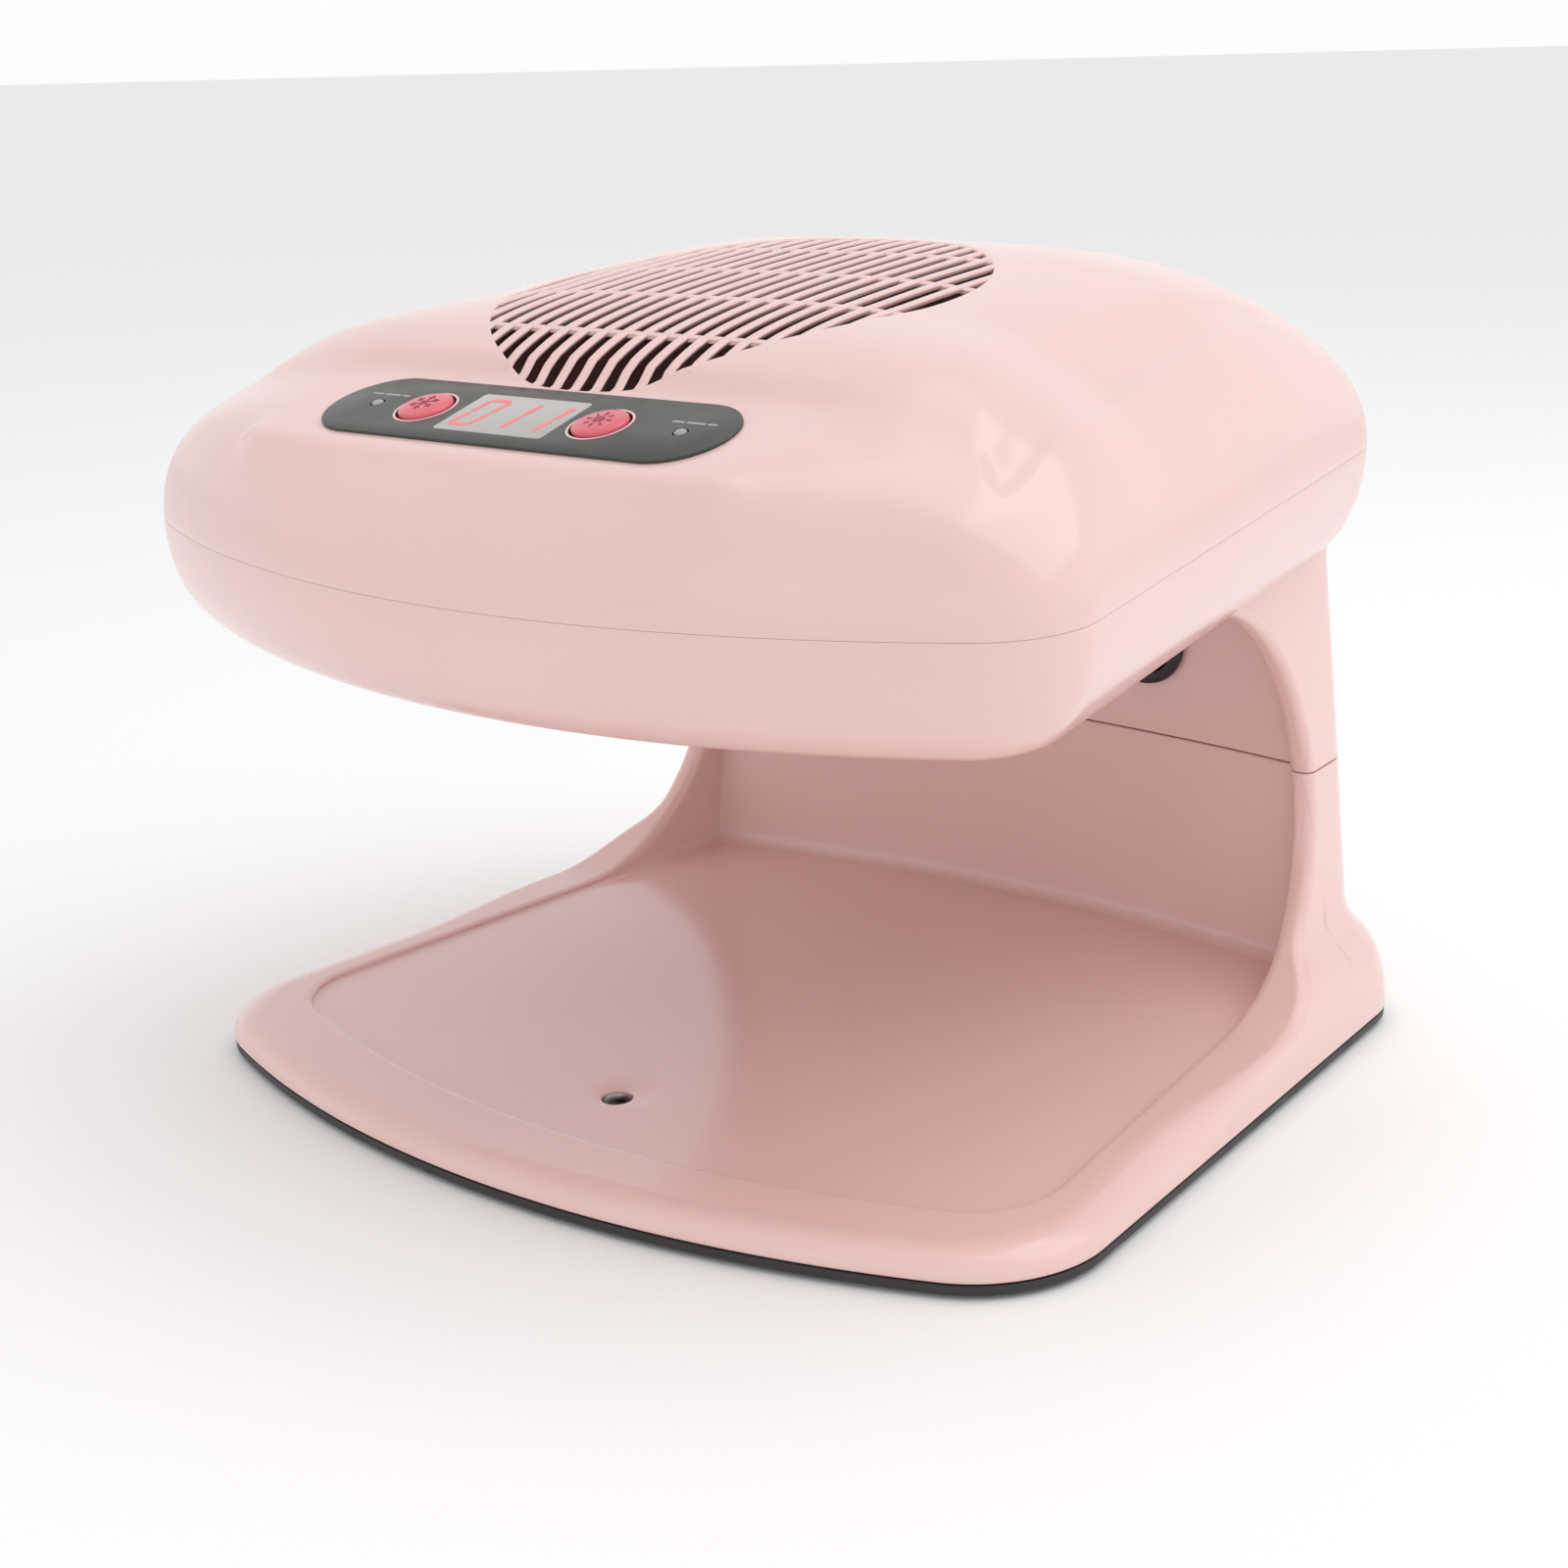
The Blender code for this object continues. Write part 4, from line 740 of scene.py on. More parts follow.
def scoop_sink(x, y):
    """Depth of the side scoop, soft on its inner edge and crisper on its outer one."""
    inner, outer = (np.interp(y, SCOOP[:, 0], SCOOP[:, side]) for side in (1, 2))
    share = (x - inner) / np.maximum(outer - inner, 1e-5)
    return (SCOOP_DEPTH * np.clip((outer - inner) / SCOOP_WIDE, 0, 1)
            * smooth(share / 0.45) * smooth((1 - share) / 0.22))


def cover_z(x, y):
    """Outer surface of the cover."""
    x = np.abs(np.asarray(x, float))
    y = np.asarray(y, float)
    half = np.interp(y, HEAD_EDGE[:, 1], HEAD_EDGE[:, 0])
    across = np.clip(x / np.maximum(half, 1e-6), 0, 1)
    power = SIDE_POWER + SHOULDER_POWER * (1 - smooth((y - SHOULDER_Y) / SHOULDER_SOFT))
    fall = (1 - across ** power) ** (1 / EDGE_POWER)
    z = part_z(y) + np.interp(y, CROWN_Y, CROWN_H) * fall - scoop_sink(x, y)
    # flat facet under the control panel, let into the dome
    plane = PANEL_Z + (y - PANEL_Y) * math.tan(PANEL_TILT) - FACET_SINK
    along = (y - PANEL_Y) / math.cos(PANEL_TILT)
    out_x = np.maximum(x - FACET_HALF[0], 0)
    out_y = np.maximum(np.abs(along - FACET_SHIFT) - FACET_HALF[1], 0)
    away = np.hypot(out_x, out_y)
    weight = 1 - smooth(away / FACET_SOFT)
    return z + (plane - z) * weight


edge = whole(head_half(0.0))
hole = hole_ring(edge, FAN_Y, GRILLE_R)
rings = [
    lifted(whole(head_half(LIP)), lambda x, y: part_z(y) + LINE),
    lifted(whole(head_half(LIP * 0.3)), lambda x, y: part_z(y) + LINE + LIP * 0.3),
    lifted(edge, lambda x, y: part_z(y) + LINE + LIP),
]
STEPS = 84
for step in range(1, STEPS + 1):
    t = step / STEPS
    share = 0.55 * t ** 3.2 + 0.45 * t ** 1.6
    xy = lerp(edge, hole, share)
    z = np.maximum(cover_z(xy[:, 0], xy[:, 1]), part_z(xy[:, 1]) + LINE + LIP + 0.00005)
    rings.append([(x, y, h) for (x, y), h in zip(xy, z)])
for radius, sink in ((-0.0003, 0.00006), (-0.0006, 0.0003), (-0.0007, 0.0008), (-0.0007, 0.0030)):
    xy = hole_ring(edge, FAN_Y, GRILLE_R + radius)
    rings.append([(x, y, h - sink) for (x, y), h in zip(xy, cover_z(xy[:, 0], xy[:, 1]))])
for share in (0.85, 0.6, 0.4, 0.25, 0.13, 0.06, 0.025, 0.008):
    outer_xy = lerp(edge, hole, share)
    inner_xy = lerp(whole(head_half(WALL)), hole, share)
    height = np.maximum(cover_z(outer_xy[:, 0], outer_xy[:, 1]) - WALL, part_z(inner_xy[:, 1]) + 0.0012)
    rings.append([(x, y, h) for (x, y), h in zip(inner_xy, height)])
rings.append(lifted(whole(head_half(WALL)), lambda x, y: part_z(y) + LINE))
cover_shell = loft("cover_shell", rings, profile_closed=True)

# ---- air grille
bm = bmesh.new()
BAR_HALF = 0.5 * (BAR_PITCH - SLOT_WIDTH) - 0.0002
bar_section = []
for turn in np.linspace(0, math.pi, 13):
    x = BAR_HALF * np.sign(math.cos(turn)) * abs(math.cos(turn)) ** 0.75
    bar_section.append((x, -0.0006 + 0.0006 * math.sin(turn) ** 0.8))
bar_section += [(-BAR_HALF * 0.7, -0.0012), (BAR_HALF * 0.7, -0.0012)]
for index in range(-9, 10):
    x0 = index * BAR_PITCH
    reach = math.sqrt((GRILLE_R + 0.0012) ** 2 - x0 * x0)
    rings = []
    for y in np.linspace(FAN_Y - reach, FAN_Y + reach, 41):
        top = float(cover_z(x0, y)) - 0.00003
        rings.append([(x0 + dx, y, top + dz) for dx, dz in bar_section])
    skin(bm, rings, caps=True)
for row in RIB_ROWS:
    reach = math.sqrt((GRILLE_R + 0.0010) ** 2 - row * row)
    rings = []
    for x in np.linspace(-reach, reach, 49):
        y = FAN_Y + row
        top = float(cover_z(x, y)) - 0.0003
        rings.append([
            (x, y - 0.0012, top - 0.0013), (x, y + 0.0012, top - 0.0013), (x, y + 0.0012, top - 0.0005),
            (x, y + 0.0008, top - 0.0001), (x, y, top), (x, y - 0.0008, top - 0.0001),
            (x, y - 0.0012, top - 0.0005),
        ])
    skin(bm, rings, caps=True)
grille_bars = from_bmesh("grille_bars", bm, 40)

# ---- openings in the mouldings
WINDOW_CORNER = 0.0008


def on_panel(x):
    """Frame of a piece on the panel, at a distance from its middle."""
    return PANEL @ Matrix.Translation((x, 0, 0))


def panel_holes(target, button_r, window_gap, lens_r, depth):
    """Cut the holes for the buttons, the window and the indicators."""
    bm = bmesh.new()
    for x in (HOT_X, COOL_X):
        cylinder_into(bm, button_r, -depth, 0.01, on_panel(x))
    window = rounded_rect(WINDOW_HALF[0] + window_gap, WINDOW_HALF[1] + window_gap, WINDOW_CORNER)
    plate(bm, window, -depth, 0.01, on_panel(WINDOW_X))
    for x in LED_X:
        cylinder_into(bm, lens_r, -depth, 0.01, on_panel(x), 32)
    cut(target, bm)


panel_holes(cover_shell, BUTTON_R + 0.0008, GAP, 0.0018, 0.012)

bm = bmesh.new()
for x, y in HEAD_SCREWS:
    place = Matrix.Translation((x, y, under_z(y)))
    cylinder_into(bm, 0.0030, -0.004, 0.0014, place, 40)
cut(head_pan, bm)

turn = math.asin(SWITCH_X / BACK_R)
SWITCH = (
    Matrix.Translation((SWITCH_X, BACK_Y - BACK_R * (1 - math.cos(turn)), SWITCH_Z))
    @ Matrix.Rotation(-turn, 4, "Z") @ Matrix.Rotation(math.radians(90), 4, "X"))
bm = bmesh.new()
cylinder_into(bm, SWITCH_BORE + GAP, -0.0105, 0.010, SWITCH)
cut(column_upper, bm)

INLET = (
    Matrix.Translation((0, BASE_REAR - 0.0004, 0.0118)) @ Matrix.Rotation(math.radians(90), 4, "X"))
bm = bmesh.new()
plate(bm, stadium(0.0105 + GAP, 0.0060 + GAP), -0.012, 0.0135, INLET)
cut(base_moulding, bm)

# ---- black base band
band_rings = []
for inset, z in ((0.0014, PLATE_BOTTOM), (0.0006, PLATE_BOTTOM + 0.0002),
                 (0.0002, PLATE_BOTTOM + 0.0008), (0.0002, PLATE_TOP - 0.0002), (0.0004, PLATE_TOP)):
    band_rings.append(lifted(whole(base_half(inset, inset, inset)), lambda x, y: z))
base_band = loft("base_band", band_rings, caps=True)
bm = bmesh.new()
for x, y in FEET:
    cylinder_into(bm, FOOT_R + GAP, -0.001, 0.0019 + GAP, Matrix.Translation((x, y, 0)), 48)
for x, y in BASE_SCREWS:
    cylinder_into(bm, 0.0030, -0.001, 0.0020, Matrix.Translation((x, y, 0)), 32)
cut(base_band, bm)

# ---- panel pieces
panel_plate = plates("panel_plate", [(stadium(*PANEL_HALF), -0.0010, 0.0, 0.0003)], PANEL)
panel_holes(panel_plate, BUTTON_R + GAP, 0.0001, 0.0016, 0.01)
window_plate = plates(
    "window_plate", [(rounded_rect(*WINDOW_HALF, WINDOW_CORNER), -0.0012, 0.00005, 0.0002)],
    on_panel(WINDOW_X))


def digit_segments(lit, centre, half_x, half_y, width):
    """Hexagonal bars of a seven-segment digit, leaning to the right."""
    lean = 0.16
    gap = 0.0001
    bars = {
        "a": ((-half_x, half_y), (half_x, half_y)), "g": ((-half_x, 0), (half_x, 0)),
        "d": ((-half_x, -half_y), (half_x, -half_y)), "f": ((-half_x, 0), (-half_x, half_y)),
        "b": ((half_x, 0), (half_x, half_y)), "e": ((-half_x, -half_y), (-half_x, 0)),
        "c": ((half_x, -half_y), (half_x, 0)),
    }
    shapes = []
    for key in lit:
        start, end = (np.array(p, float) for p in bars[key])
        along = (end - start) / np.linalg.norm(end - start)
        across = np.array((-along[1], along[0])) * width / 2
        inner_start = start + along * (gap + width / 2)
        inner_end = end - along * (gap + width / 2)
        outline = [
            start + along * gap, inner_start - across, inner_end - across,
            end - along * gap, inner_end + across, inner_start + across,
        ]
        shapes.append(np.array([(p[0] + lean * p[1] + centre, p[1]) for p in outline]))
    return shapes


digit_items = []
for lit, centre in (("abcdef", -0.0086), ("bc", 0.0000), ("bc", 0.0086)):
    for outline in digit_segments(lit, centre, 0.0026, 0.0056, 0.0013):
        digit_items.append((outline, 0.00002, 0.00010, 0.0))
display_digits = plates("display_digits", digit_items, on_panel(WINDOW_X))

buttons = {}
for name, x in (("hot", HOT_X), ("cool", COOL_X)):
    place = on_panel(x)
    radius = BUTTON_R - GAP
    buttons[name] = lathe(f"cap_{name}", [
        (0, -0.0047), (0.0016, -0.0047), (0.0016, -0.0026), (radius, -0.0026), (radius, 0.0002),
        (radius - 0.0001, 0.00045), (radius - 0.0003, 0.00065), (radius - 0.0007, 0.0008),
        (radius - 0.0020, 0.0010), (0.0020, 0.0011), (0, 0.0011),
    ], place)


def bar(start, end, width):
    """Thin rectangle outline between two points."""
    start, end = np.array(start, float), np.array(end, float)
    along = (end - start) / np.linalg.norm(end - start)
    across = np.array((-along[1], along[0])) * width / 2
    return np.array((start - across, end - across, end + across, start + across))


def spoke(angle, start, end):
    """Two points on a ray from the middle."""
    ray = np.array((math.cos(angle), math.sin(angle)))
    return ray * start, ray * end


TOP_LOW, TOP_HIGH = 0.00092, 0.00116
sun = [(arc((0, 0), 0.0013, 0, 2 * math.pi, 32), TOP_LOW, TOP_HIGH, 0.0)]
for step in range(8):
    sun.append((bar(*spoke(step * math.pi / 4, 0.0018, 0.0030), 0.00042), TOP_LOW, TOP_HIGH, 0.0))
flake = []
for step in range(6):
    angle = math.pi / 6 + step * math.pi / 3
    flake.append((bar(*spoke(angle, 0.0001, 0.0031), 0.00036), TOP_LOW, TOP_HIGH, 0.0))
    root = spoke(angle, 0.0017, 0.0017)[0]
    for lean in (-0.75, 0.75):
        away = np.array((math.cos(angle + lean), math.sin(angle + lean))) * 0.0010
        flake.append((bar(root, root + away, 0.0003), TOP_LOW, TOP_HIGH, 0.0))
icon_hot = plates("icon_hot", sun, on_panel(HOT_X))
icon_cool = plates("icon_cool", flake, on_panel(COOL_X))

bm = bmesh.new()
for x in (HOT_X, COOL_X):
    profile = [(0.0063, -0.0002), (0.0068, -0.0002), (0.0068, 0.00004), (0.0063, 0.00004)]
    skin(bm, lathe_rings(profile, 72), profile_closed=True, matrix=on_panel(x))
button_rings = from_bmesh("button_rings", bm)

caption = []
for x in LED_X:
    for start, length in ((-0.0052, 0.0030), (-0.0016, 0.0044), (0.0034, 0.0022)):
        outline = bar((x + start, 0.0040), (x + start + length, 0.0040), 0.0007)
        caption.append((outline, -0.0002, 0.00003, 0.0))
caption_marks = plates("caption_marks", caption, PANEL)

lenses = {}
for name, x in zip(("left", "right"), LED_X):
    lenses[name] = lathe(f"lens_{name}", [
        (0, -0.0095), (0.0013, -0.0095), (0.0013, -0.0002), (0.0012, 0.0001), (0.0009, 0.0003),
        (0.0005, 0.0004), (0, 0.00045),
    ], on_panel(x), 40)

# ---- tray sensor and switch
sensor_top = tray_z(SENSOR_Y) - DISH_DEPTH
sensor_lens = lathe("sensor_lens", [
    (0, 0.0052), (SENSOR_R + 0.0008, 0.0052), (SENSOR_R + 0.0008, 0.0055), (SENSOR_R, 0.0055),
    (SENSOR_R, sensor_top - 0.0008), (SENSOR_R * 0.94, sensor_top - 0.0004),
    (SENSOR_R * 0.75, sensor_top), (SENSOR_R * 0.4, sensor_top + 0.0003), (0, sensor_top + 0.0004),
], Matrix.Translation((0, SENSOR_Y, 0)), 48)

switch_ring = lathe("switch_ring", [
    (SWITCH_R - 0.0026, 0.0019), (SWITCH_R - 0.0023, 0.0022), (SWITCH_R - 0.0014, 0.0023),
    (SWITCH_R - 0.0006, 0.0021), (SWITCH_R - 0.0001, 0.0016), (SWITCH_R, 0.0009),
    (SWITCH_BORE, 0.0009), (SWITCH_BORE, -0.0090), (0.0090, -0.0096), (1e-6, -0.0096),
    (1e-6, -0.0088), (SWITCH_R - 0.0026, -0.0088),
], SWITCH, 72, closed=True)

PIVOT = -0.0030
rocker_outline = []
for step in range(25):
    angle = math.radians(-62 + 124 * step / 24)
    rocker_outline.append((0.0070 * math.sin(angle), 0.0034 - 0.0011 * math.cos(angle)))
rocker_outline += [(0.0052, -0.0044), (-0.0052, -0.0044)]
tilted = SWITCH @ Matrix.Translation((0, 0, PIVOT)) @ Matrix.Rotation(0.14, 4, "X")
rings = []
for x, pull in ((-0.0044, 0.0005), (-0.0042, 0.0002), (-0.0038, 0.0),
                (0.0038, 0.0), (0.0042, 0.0002), (0.0044, 0.0005)):
    rings.append([
        (x, y * (1 - pull / 0.007), z - PIVOT - (pull if z > 0 else 0.0)) for y, z in rocker_outline])
rocker_cap = loft("rocker_cap", rings, caps=True, matrix=tilted)


# ---- materials
class Look:
    """A node material that is being built."""

    def __init__(self, name):
        self.mat = bpy.data.materials.new(name)
        self.mat.use_nodes = True
        self.nodes = self.mat.node_tree.nodes
        self.links = self.mat.node_tree.links
        self.shader = self.nodes["Principled BSDF"]
        self.coord = self.nodes.new("ShaderNodeTexCoord").outputs["Object"]

    def node(self, kind, **values):
        """New node with values on its sockets; an underscore stands for a space."""
        node = self.nodes.new("ShaderNode" + kind)
        for name, value in values.items():
            node.inputs[name.replace("_", " ")].default_value = value
        return node

    def feed(self, socket, name):
        """Link a socket to one of the shader's."""
        self.links.new(socket, self.shader.inputs[name])

    def fix(self, **values):
        """Constant values on the shader's own sockets."""
        for name, value in values.items():
            self.shader.inputs[name.replace("_", " ")].default_value = value

    def noise(self, scale, detail=3.0, rough=0.5):
        """Noise in object space."""
        node = self.node("TexNoise", Scale=scale, Detail=detail, Roughness=rough)
        self.links.new(self.coord, node.inputs["Vector"])
        return node.outputs["Fac"]

    def ranged(self, value, low, high, start=0.3, end=0.7):
        """Map a value to a range."""
        node = self.node("MapRange", From_Min=start, From_Max=end, To_Min=low, To_Max=high)
        self.links.new(value, node.inputs["Value"])
        return node.outputs["Result"]

    def mixed(self, factor, first, second):
        """Mix two colours or sockets."""
        node = self.nodes.new("ShaderNodeMix")
        node.data_type = "RGBA"
        self.links.new(factor, node.inputs[0])
        for socket, value in ((node.inputs[6], first), (node.inputs[7], second)):
            if isinstance(value, tuple):
                socket.default_value = (*value, 1.0)
            else:
                self.links.new(value, socket)
        return node.outputs[2]

    def bumped(self, height, strength, distance, previous=None):
        """Bump that feeds the shader's normal."""
        node = self.node("Bump", Strength=strength, Distance=distance)
        self.links.new(height, node.inputs["Height"])
        if previous is not None:
            self.links.new(previous, node.inputs["Normal"])
        self.feed(node.outputs["Normal"], "Normal")
        return node.outputs["Normal"]


def shade(colour, factor):
    """Scale a colour."""
    return tuple(min(1.0, c * factor) for c in colour)


def moulded(name, colour, rough, spread=0.05, grain=2500.0, grain_bump=0.10, wave_bump=0.04,
            edge_highlight=1.12, coat=0.0, subsurface=0.0, radius=(1, 1, 1)):
    """Moulded plastic or similar: flow tint, fine grain, uneven gloss and a painted highlight on convex
    edges.
    """
    look = Look(name)
    flow = look.ranged(look.noise(14.0, 2.0), 0, 1)
    tint = look.mixed(flow, shade(colour, 1 - spread), shade(colour, 1 + spread * 0.6))
    geometry = look.nodes.new("ShaderNodeNewGeometry")
    # painted highlight: pointed convex edges are mixed towards a lighter copy of the colour
    edge_mask = look.ranged(geometry.outputs["Pointiness"], 0.0, 0.7, 0.53, 0.62)
    look.feed(look.mixed(edge_mask, tint, shade(colour, edge_highlight)), "Base Color")
    patches = look.noise(85.0, 5.0, 0.62)
    look.feed(look.ranged(patches, rough * 0.82, rough * 1.25), "Roughness")
    wave = look.bumped(look.noise(260.0, 2.0), wave_bump, 0.00006)
    look.bumped(look.noise(grain, 2.0), grain_bump, 0.00002, wave)
    look.fix(Coat_Weight=coat, Coat_Roughness=0.06)
    if subsurface:
        look.fix(Subsurface_Weight=subsurface, Subsurface_Radius=radius, Subsurface_Scale=0.002)
    return look.mat


def brushed(name, colour, rough):
    """Drawn or plated metal with fine lines."""
    look = Look(name)
    stretch = look.node("Mapping", Scale=(1.0, 1.0, 26.0))
    look.links.new(look.coord, stretch.inputs["Vector"])
    lines = look.node("TexNoise", Scale=320.0, Detail=4.0)
    look.links.new(stretch.outputs["Vector"], lines.inputs["Vector"])
    spots = look.ranged(look.noise(420.0, 5.0, 0.65), 0, 1)
    look.feed(look.mixed(spots, shade(colour, 0.72), colour), "Base Color")
    look.feed(look.ranged(lines.outputs["Fac"], rough * 0.7, rough * 1.5), "Roughness")
    look.bumped(lines.outputs["Fac"], 0.15, 0.00003)
    look.fix(Metallic=1.0)
    return look.mat


def board(name, colour):
    """Circuit board: solder mask over copper tracks."""
    look = Look(name)
    cells = look.node("TexVoronoi", Scale=260.0)
    cells.feature = "DISTANCE_TO_EDGE"
    look.links.new(look.coord, cells.inputs["Vector"])
    tracks = look.ranged(cells.outputs["Distance"], 1.0, 0.0, 0.05, 0.09)
    stain = look.noise(90.0, 4.0)
    mask = look.mixed(look.ranged(stain, 0, 1), shade(colour, 0.75), shade(colour, 1.15))
    look.feed(look.mixed(tracks, mask, shade(colour, 2.0)), "Base Color")
    look.feed(look.ranged(stain, 0.30, 0.48), "Roughness")
    look.bumped(tracks, 0.4, 0.00004)
    return look.mat


# each material's edge factor below sets a painted highlight: how much lighter its convex edges are
# painted
PINK = (0.825, 0.563, 0.528)
pink = moulded("pink_gloss", PINK, 0.20, spread=0.02, grain_bump=0.05, wave_bump=0.03, edge_highlight=1.03,
               coat=0.35, subsurface=0.12, radius=(1.0, 0.55, 0.45))
black = moulded("black_satin", (0.020, 0.017, 0.017), 0.46, spread=0.2, grain_bump=0.35, edge_highlight=2.2)
rubber = moulded("rubber", (0.026, 0.025, 0.025), 0.80, spread=0.3, grain=1400.0,
                 grain_bump=0.6, edge_highlight=1.8)
film = moulded("printed_film", (0.038, 0.043, 0.036), 0.30, spread=0.10, grain=3600.0,
               grain_bump=0.25, edge_highlight=1.4)
window_mat = moulded("smoke_window", (0.42, 0.40, 0.39), 0.16, spread=0.10, grain_bump=0.04,
                     edge_highlight=1.1, coat=0.4)
button_mat = moulded("button_red", (0.72, 0.115, 0.16), 0.24, spread=0.08, grain_bump=0.06, edge_highlight=1.2,
                     coat=0.3, subsurface=0.10, radius=(1.0, 0.3, 0.3))
icon_mat = moulded("icon_ink", (0.30, 0.03, 0.06), 0.45, spread=0.15, grain_bump=0.2, edge_highlight=1.1)
ring_mat = moulded("ring_ink", (0.83, 0.52, 0.52), 0.40, spread=0.08, grain_bump=0.2, edge_highlight=1.05)
caption_mat = moulded("caption_ink", (0.34, 0.36, 0.34), 0.45, spread=0.15, grain_bump=0.2, edge_highlight=1.1)
lens_mat = moulded("lens_grey", (0.33, 0.34, 0.33), 0.18, spread=0.12, grain_bump=0.05,
                   edge_highlight=1.15, coat=0.4)
sensor_mat = moulded("sensor_dark", (0.010, 0.007, 0.010), 0.10, spread=0.2, grain_bump=0.04,
                     edge_highlight=1.6, coat=0.6)
digit_mat = moulded("digit_red", (0.86, 0.20, 0.20), 0.35, spread=0.06, grain_bump=0.08, edge_highlight=1.1)
nylon = moulded("nylon_white", (0.75, 0.74, 0.70), 0.42, spread=0.05, grain_bump=0.15, edge_highlight=1.1,
                subsurface=0.2, radius=(1, 1, 0.9))
sleeve = moulded("sleeve_navy", (0.02, 0.03, 0.10), 0.32, spread=0.15, grain_bump=0.10, edge_highlight=1.8)
relay_mat = moulded("relay_case", (0.03, 0.12, 0.42), 0.36, spread=0.10, grain_bump=0.15, edge_highlight=1.5)
mica = moulded("mica", (0.62, 0.52, 0.36), 0.50, spread=0.25, grain=700.0, grain_bump=0.5,
               wave_bump=0.3, edge_highlight=1.2)
steel = brushed("plated_steel", (0.62, 0.62, 0.60), 0.30)
wire_mat = brushed("oxidised_wire", (0.36, 0.30, 0.27), 0.42)
copper = brushed("copper_tape", (0.72, 0.38, 0.20), 0.34)
green = board("solder_mask", (0.030, 0.180, 0.070))

BY_SLOT = {
    "pink_abs": pink, "black_abs": black, "black_rubber": rubber, "panel_film": film,
    "smoke_window": window_mat, "red_segments": digit_mat, "red_button": button_mat,
    "grey_lens": lens_mat, "sensor_lens": sensor_mat, "green_board": green, "white_nylon": nylon,
    "zinc_steel": steel, "heater_wire": wire_mat, "mica_sheet": mica, "copper_tape": copper,
    "capacitor_sleeve": sleeve, "relay_blue": relay_mat,
}
for part in frame["record"]["subparts"]:
    node = NODES[part["node"]]
    node.data.materials.clear()
    node.data.materials.append(BY_SLOT[part["material_slot"]])


def place_piece(obj, body, slot, mat, *replaced):
    """Move a piece by CENTRE_Y, give it its material and body, and hide the CAD nodes that it stands
    for. The slot argument is not used.
    """
    obj.data.transform(Matrix.Translation((0, CENTRE_Y, 0)))
    obj.data.materials.clear()
    obj.data.materials.append(mat)
    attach(obj, body)
    if replaced:
        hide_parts(*replaced)


PIECES = (
    (cover_shell, "body", "pink_abs", pink, "top_cover"),
    (grille_bars, "body", "pink_abs", pink),
    (head_pan, "body", "pink_abs", pink, "head_shell"),
    (column_upper, "body", "pink_abs", pink),
    (base_moulding, "body", "pink_abs", pink, "base_shell"),
    (base_band, "body", "black_abs", black, "base_plate"),
    (panel_plate, "body", "panel_film", film, "panel_overlay"),
    (window_plate, "body", "smoke_window", window_mat, "display_window"),
    (display_digits, "body", "red_segments", digit_mat),
    (button_rings, "body", "red_button", ring_mat),
    (caption_marks, "body", "grey_lens", caption_mat),
    (lenses["left"], "body", "grey_lens", lens_mat, "indicator_left"),
    (lenses["right"], "body", "grey_lens", lens_mat, "indicator_right"),
    (sensor_lens, "body", "sensor_lens", sensor_mat, "tray_sensor"),
    (switch_ring, "body", "black_abs", black, "switch_body"),
    (rocker_cap, "rocker", "black_abs", black, "switch_rocker"),
    (buttons["hot"], "hot_button", "red_button", button_mat, "button_hot"),
    (buttons["cool"], "cool_button", "red_button", button_mat, "button_cool"),
    (icon_hot, "hot_button", "red_button", icon_mat),
    (icon_cool, "cool_button", "red_button", icon_mat),
)
for piece in PIECES:
    place_piece(*piece)

# ---- stage
bm = bmesh.new()
bmesh.ops.create_grid(bm, x_segments=1, y_segments=1, size=40.0)
floor = from_bmesh("floor", bm)
paper = Look("floor_paper")
fibre = paper.ranged(paper.noise(900.0), 0, 1)
paper.feed(paper.mixed(fibre, (0.965, 0.965, 0.965), (0.985, 0.985, 0.985)), "Base Color")
paper.fix(Roughness=0.7)
floor.data.materials.append(paper.mat)


def area_light(name, location, target, size, power):
    """Soft white rectangular lamp aimed at a point."""
    lamp = bpy.data.lights.new(name, "AREA")
    lamp.shape = "RECTANGLE"
    lamp.size, lamp.size_y = size
    lamp.energy = power
    obj = bpy.data.objects.new(name, lamp)
    COLLECTION.objects.link(obj)
    obj.location = location
    obj.rotation_mode = "QUATERNION"
    aim = Vector(target) - Vector(location)
    obj.rotation_quaternion = aim.to_track_quat("-Z", "Y")


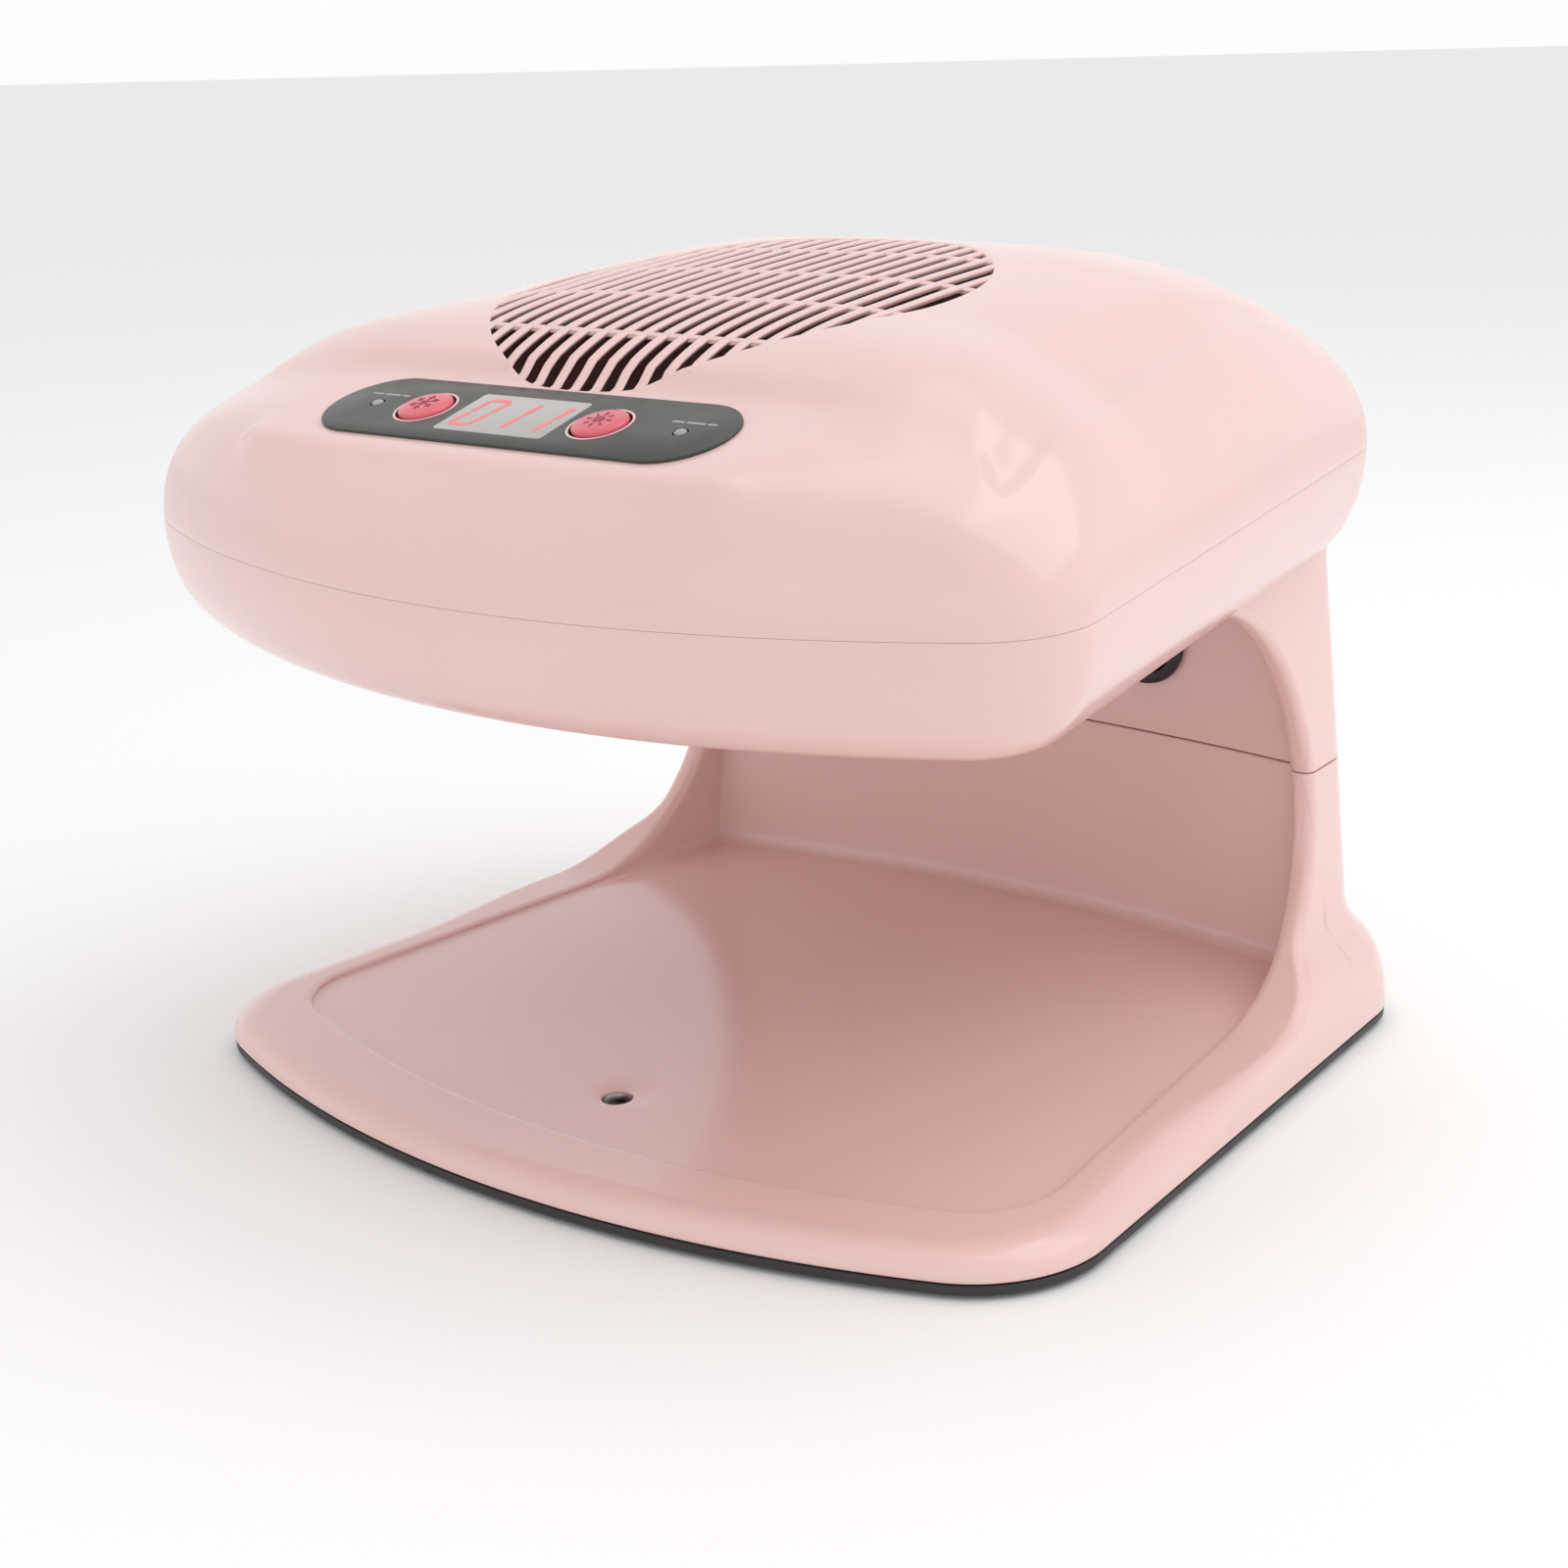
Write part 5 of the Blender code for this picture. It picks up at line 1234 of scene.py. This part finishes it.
area_light("key", (0.65, 0.30, 1.00), (0, 0, 0.08), (1.1, 1.1), 3.8)
area_light("low", (0.30, -1.10, 0.16), (0, 0.05, 0.05), (1.0, 0.30), 0.25)
area_light("top", (0.0, 0.1, 1.2), (0, 0, 0.08), (0.9, 0.9), 1.2)

world = bpy.data.worlds.new("studio")
bpy.context.scene.world = world
world.use_nodes = True
nodes, links = world.node_tree.nodes, world.node_tree.links
backdrop = nodes["Background"]
backdrop.inputs["Color"].default_value = (1.0, 1.0, 1.0, 1.0)
# the studio is brighter near the horizon than overhead
coord = nodes.new("ShaderNodeTexCoord")
split = nodes.new("ShaderNodeSeparateXYZ")
fade = nodes.new("ShaderNodeMapRange")
fade.interpolation_type = "SMOOTHSTEP"
for socket, value in (("From Min", 0.10), ("From Max", 0.75), ("To Min", 0.98), ("To Max", 0.80)):
    fade.inputs[socket].default_value = value
links.new(coord.outputs["Generated"], split.inputs[0])
links.new(split.outputs["Z"], fade.inputs["Value"])
links.new(fade.outputs["Result"], backdrop.inputs["Strength"])
bpy.context.scene.view_settings.view_transform = "Standard"

# ---- camera
AZIMUTH, ELEVATION, ROLL = math.radians(39.2), math.radians(16.25), math.radians(-1.45)
TARGET, DISTANCE = Vector((0, CENTRE_Y, 0.064)), 0.577
back = Vector((
    math.sin(AZIMUTH) * math.cos(ELEVATION), -math.cos(AZIMUTH) * math.cos(ELEVATION),
    math.sin(ELEVATION)))
side = (-back).cross(Vector((0, 0, 1))).normalized()
up = side.cross(-back)
right = side * math.cos(ROLL) + up * math.sin(ROLL)
top = -side * math.sin(ROLL) + up * math.cos(ROLL)
camera_data = bpy.data.cameras.new("camera")
camera_data.sensor_width = 36.0
camera_data.lens = 58.95
camera_data.clip_start = 0.01
camera_data.clip_end = 20.0
camera = bpy.data.objects.new("camera", camera_data)
COLLECTION.objects.link(camera)
spot = TARGET + back * DISTANCE
camera.matrix_world = Matrix((
    (right.x, top.x, back.x, spot.x), (right.y, top.y, back.y, spot.y),
    (right.z, top.z, back.z, spot.z), (0, 0, 0, 1)))
bpy.context.scene.camera = camera
